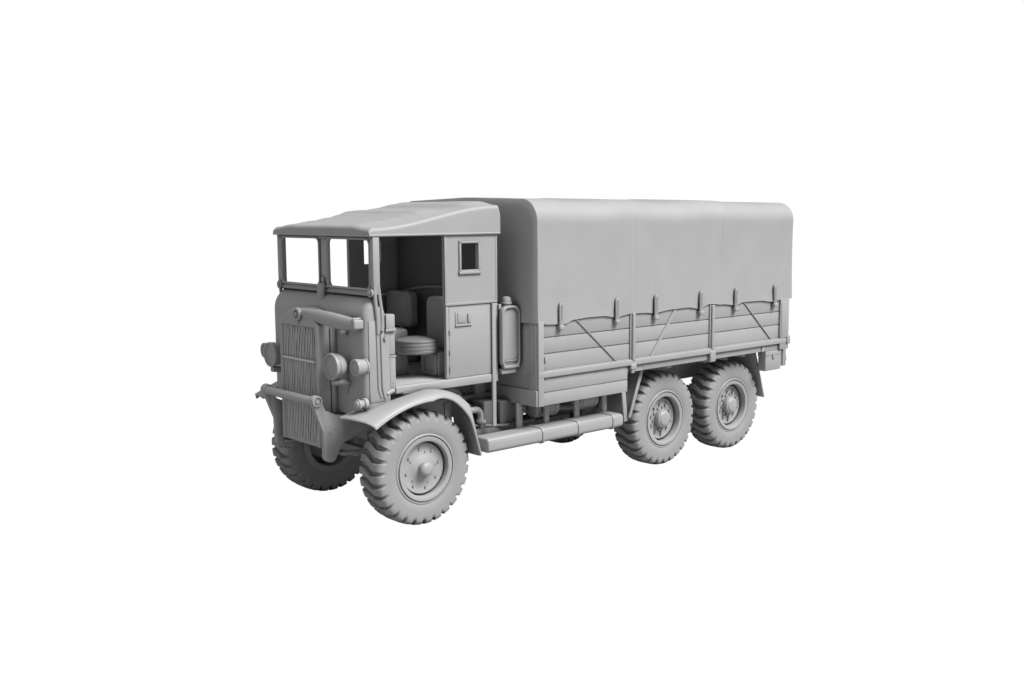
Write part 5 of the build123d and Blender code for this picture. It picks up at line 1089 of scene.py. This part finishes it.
# Fuel tank: upright with rounded ends, a raised rim round each side, a pressed
# line near its foot, and a domed filler cap. It is glued on its shelf.
TANK_X, TANK_Z, TANK = -32, 47.3, (6.8, 17.7, 2.5)
TANK_RINGS = [  # y, and how far the ring is grown
    (3, -0.5), (3.1, -0.1), (4.1, -0.1), (4.2, -0.45), (24.3, -0.45), (24.4, 0), (25.5, 0.05),
    (25.8, -0.1), (25.9, -0.35), (25.8, -0.62), (25.05, -0.72), (25, -0.95), (25.1, -1.3)]
FILLER = [(0, 2.1), (0.7, 2), (1.15, 1.7), (1.35, 1.2), (1.4, 0.4), (1.6, 0.25), (1.6, -0.1), (1.3, -0.2),
          (1.3, -1), (0, -1)]
bm = bmesh.new()
lofted(bm, [[(TANK_X + a, y, TANK_Z + b) for a, b in grown(TANK, by, 8)] for y, by in TANK_RINGS])
slab(bm, (-35, 24.4, 38.6), (-29.2, 25.9, 39.5), 0.25)
rod(bm, [(-34.6, 25.3, 40.6), (-29.6, 25.3, 40.6)], 0.18, 6)
spun(bm, FILLER, 32, (-32.3, 23.3, 56.6), UPRIGHT)
slab(bm, (-29.4, 22.9, 55.2), (-28.5, 24.6, 56.7), 0.2)
piece("upright_tank", bm, "fuel_tank")


# Reservoirs, exhaust and frame gear: round reservoirs with domed ends in straps,
# a thick bent pipe under the cab, and a tray of boxes beside the frame.
DOME = [(0, 0), (0.6, 0.05), (0.86, 0.35), (1, 0.9)]  # part of the radius, depth
BACKWARD = Matrix.Rotation(pi / 2, 4, "Z")
bm = bmesh.new()
for x0, x1, y, radius in ((-43.6, -53.8, 20.6, 2.75), (-60.8, -69.8, 21.5, 2.5)):
    wall = [(share * radius, at) for share, at in DOME]
    wall += [(part, x0 - x1 - at) for part, at in wall[::-1]]
    z, out = 27.4 - radius, radius + 0.2
    spun(bm, wall, 32, (x0, y, z), BACKWARD)
    strap = [(0, 0), (out - 0.1, 0), (out, 0.1), (out, 0.9), (out - 0.1, 1), (0, 1)]
    for x in (x0 - 2, x1 + 2):
        spun(bm, strap, 32, (x + 0.5, y, z), BACKWARD)
        slab(bm, (x - 0.5, y - 1.6, 26.9), (x + 0.5, y + 1.6, 27.9), 0.1)
piece("strapped_reservoirs", bm, "reservoirs")
bm = bmesh.new()
slabs(bm, [(-31.3, 12, 20.6, -26.8, 19.6, 28.6, 0.4, 3), (-36.8, 12, 20.2, -31.9, 20.8, 28.4, 0.4, 3),
           (-42.6, 12, 20.8, -37.4, 19, 27.7, 0.4, 3), (-26.2, 12, 21.5, -21.8, 15.4, 27.5, 0.4, 3),
           (-60, 12, 18.5, -20.6, 20.6, 21.2, 0.3)])
rod(bm, [(-20.8, 17.4, 22.4), (-26, 18.6, 21.8), (-33, 21.4, 21.4), (-44, 21.8, 21.6)], 0.5, 10)
rod(bm, [(-22.4, 16.4, 27), (-23, 17, 23), (-24.6, 17.6, 20.4)], 0.6, 10)
# The frame gear is painted dark grey as painted shade under the body.
piece("frame_side_gear", bm, material=PAINTED_SHADE_PANEL)


# Pieces carried over as they were machined for the mould: their flat faces are
# joined up again and their edges softened, as moulded edges are.
HARD, FLAT, MEET = radians(40), radians(0.5), 0.000002


def carried(name, edge):
    """Stand a softened copy in for a CAD node, on that node's body."""
    node = frame["nodes"][name]
    bm = bmesh.new()
    bm.from_mesh(node.data)
    ops.transform(bm, matrix=node.matrix_world, verts=bm.verts)
    weld(bm, MEET)
    ops.dissolve_limit(bm, angle_limit=FLAT, verts=bm.verts, edges=bm.edges)
    hard = [part for part in bm.edges if len(part.link_faces) == 2 and part.calc_face_angle(0) > HARD]
    soften(bm, hard, edge * MM, clamp_overlap=True)
    stand(name + "_piece", mesh_of(name, bm), body_of(node)[0], [name])


SOFTENED = [  # node, width of its softened edges
    ("chassis_frame", 0.2), ("cross_members", 0.15), ("front_axle_beam", 0.2), ("front_springs", 0.08),
    ("bogie_springs", 0.08), ("bogie_axles", 0.15), ("propeller_shafts", 0.12), ("engine_block", 0.25),
    ("exhaust_pipe", 0.12), ("tank_shelf", 0.15), ("steering_wheel", 0.08), ("body_floor", 0.15),
    ("floor_bearers", 0.15), ("floor_runners", 0.15), ("tilt_hoops", 0.06), ("rear_mudguards", 0.12),
    ("knuckle_left", 0.08), ("knuckle_right", 0.08), ("tie_rod", 0.08),
]
for name, edge in SOFTENED:
    carried(name, edge)
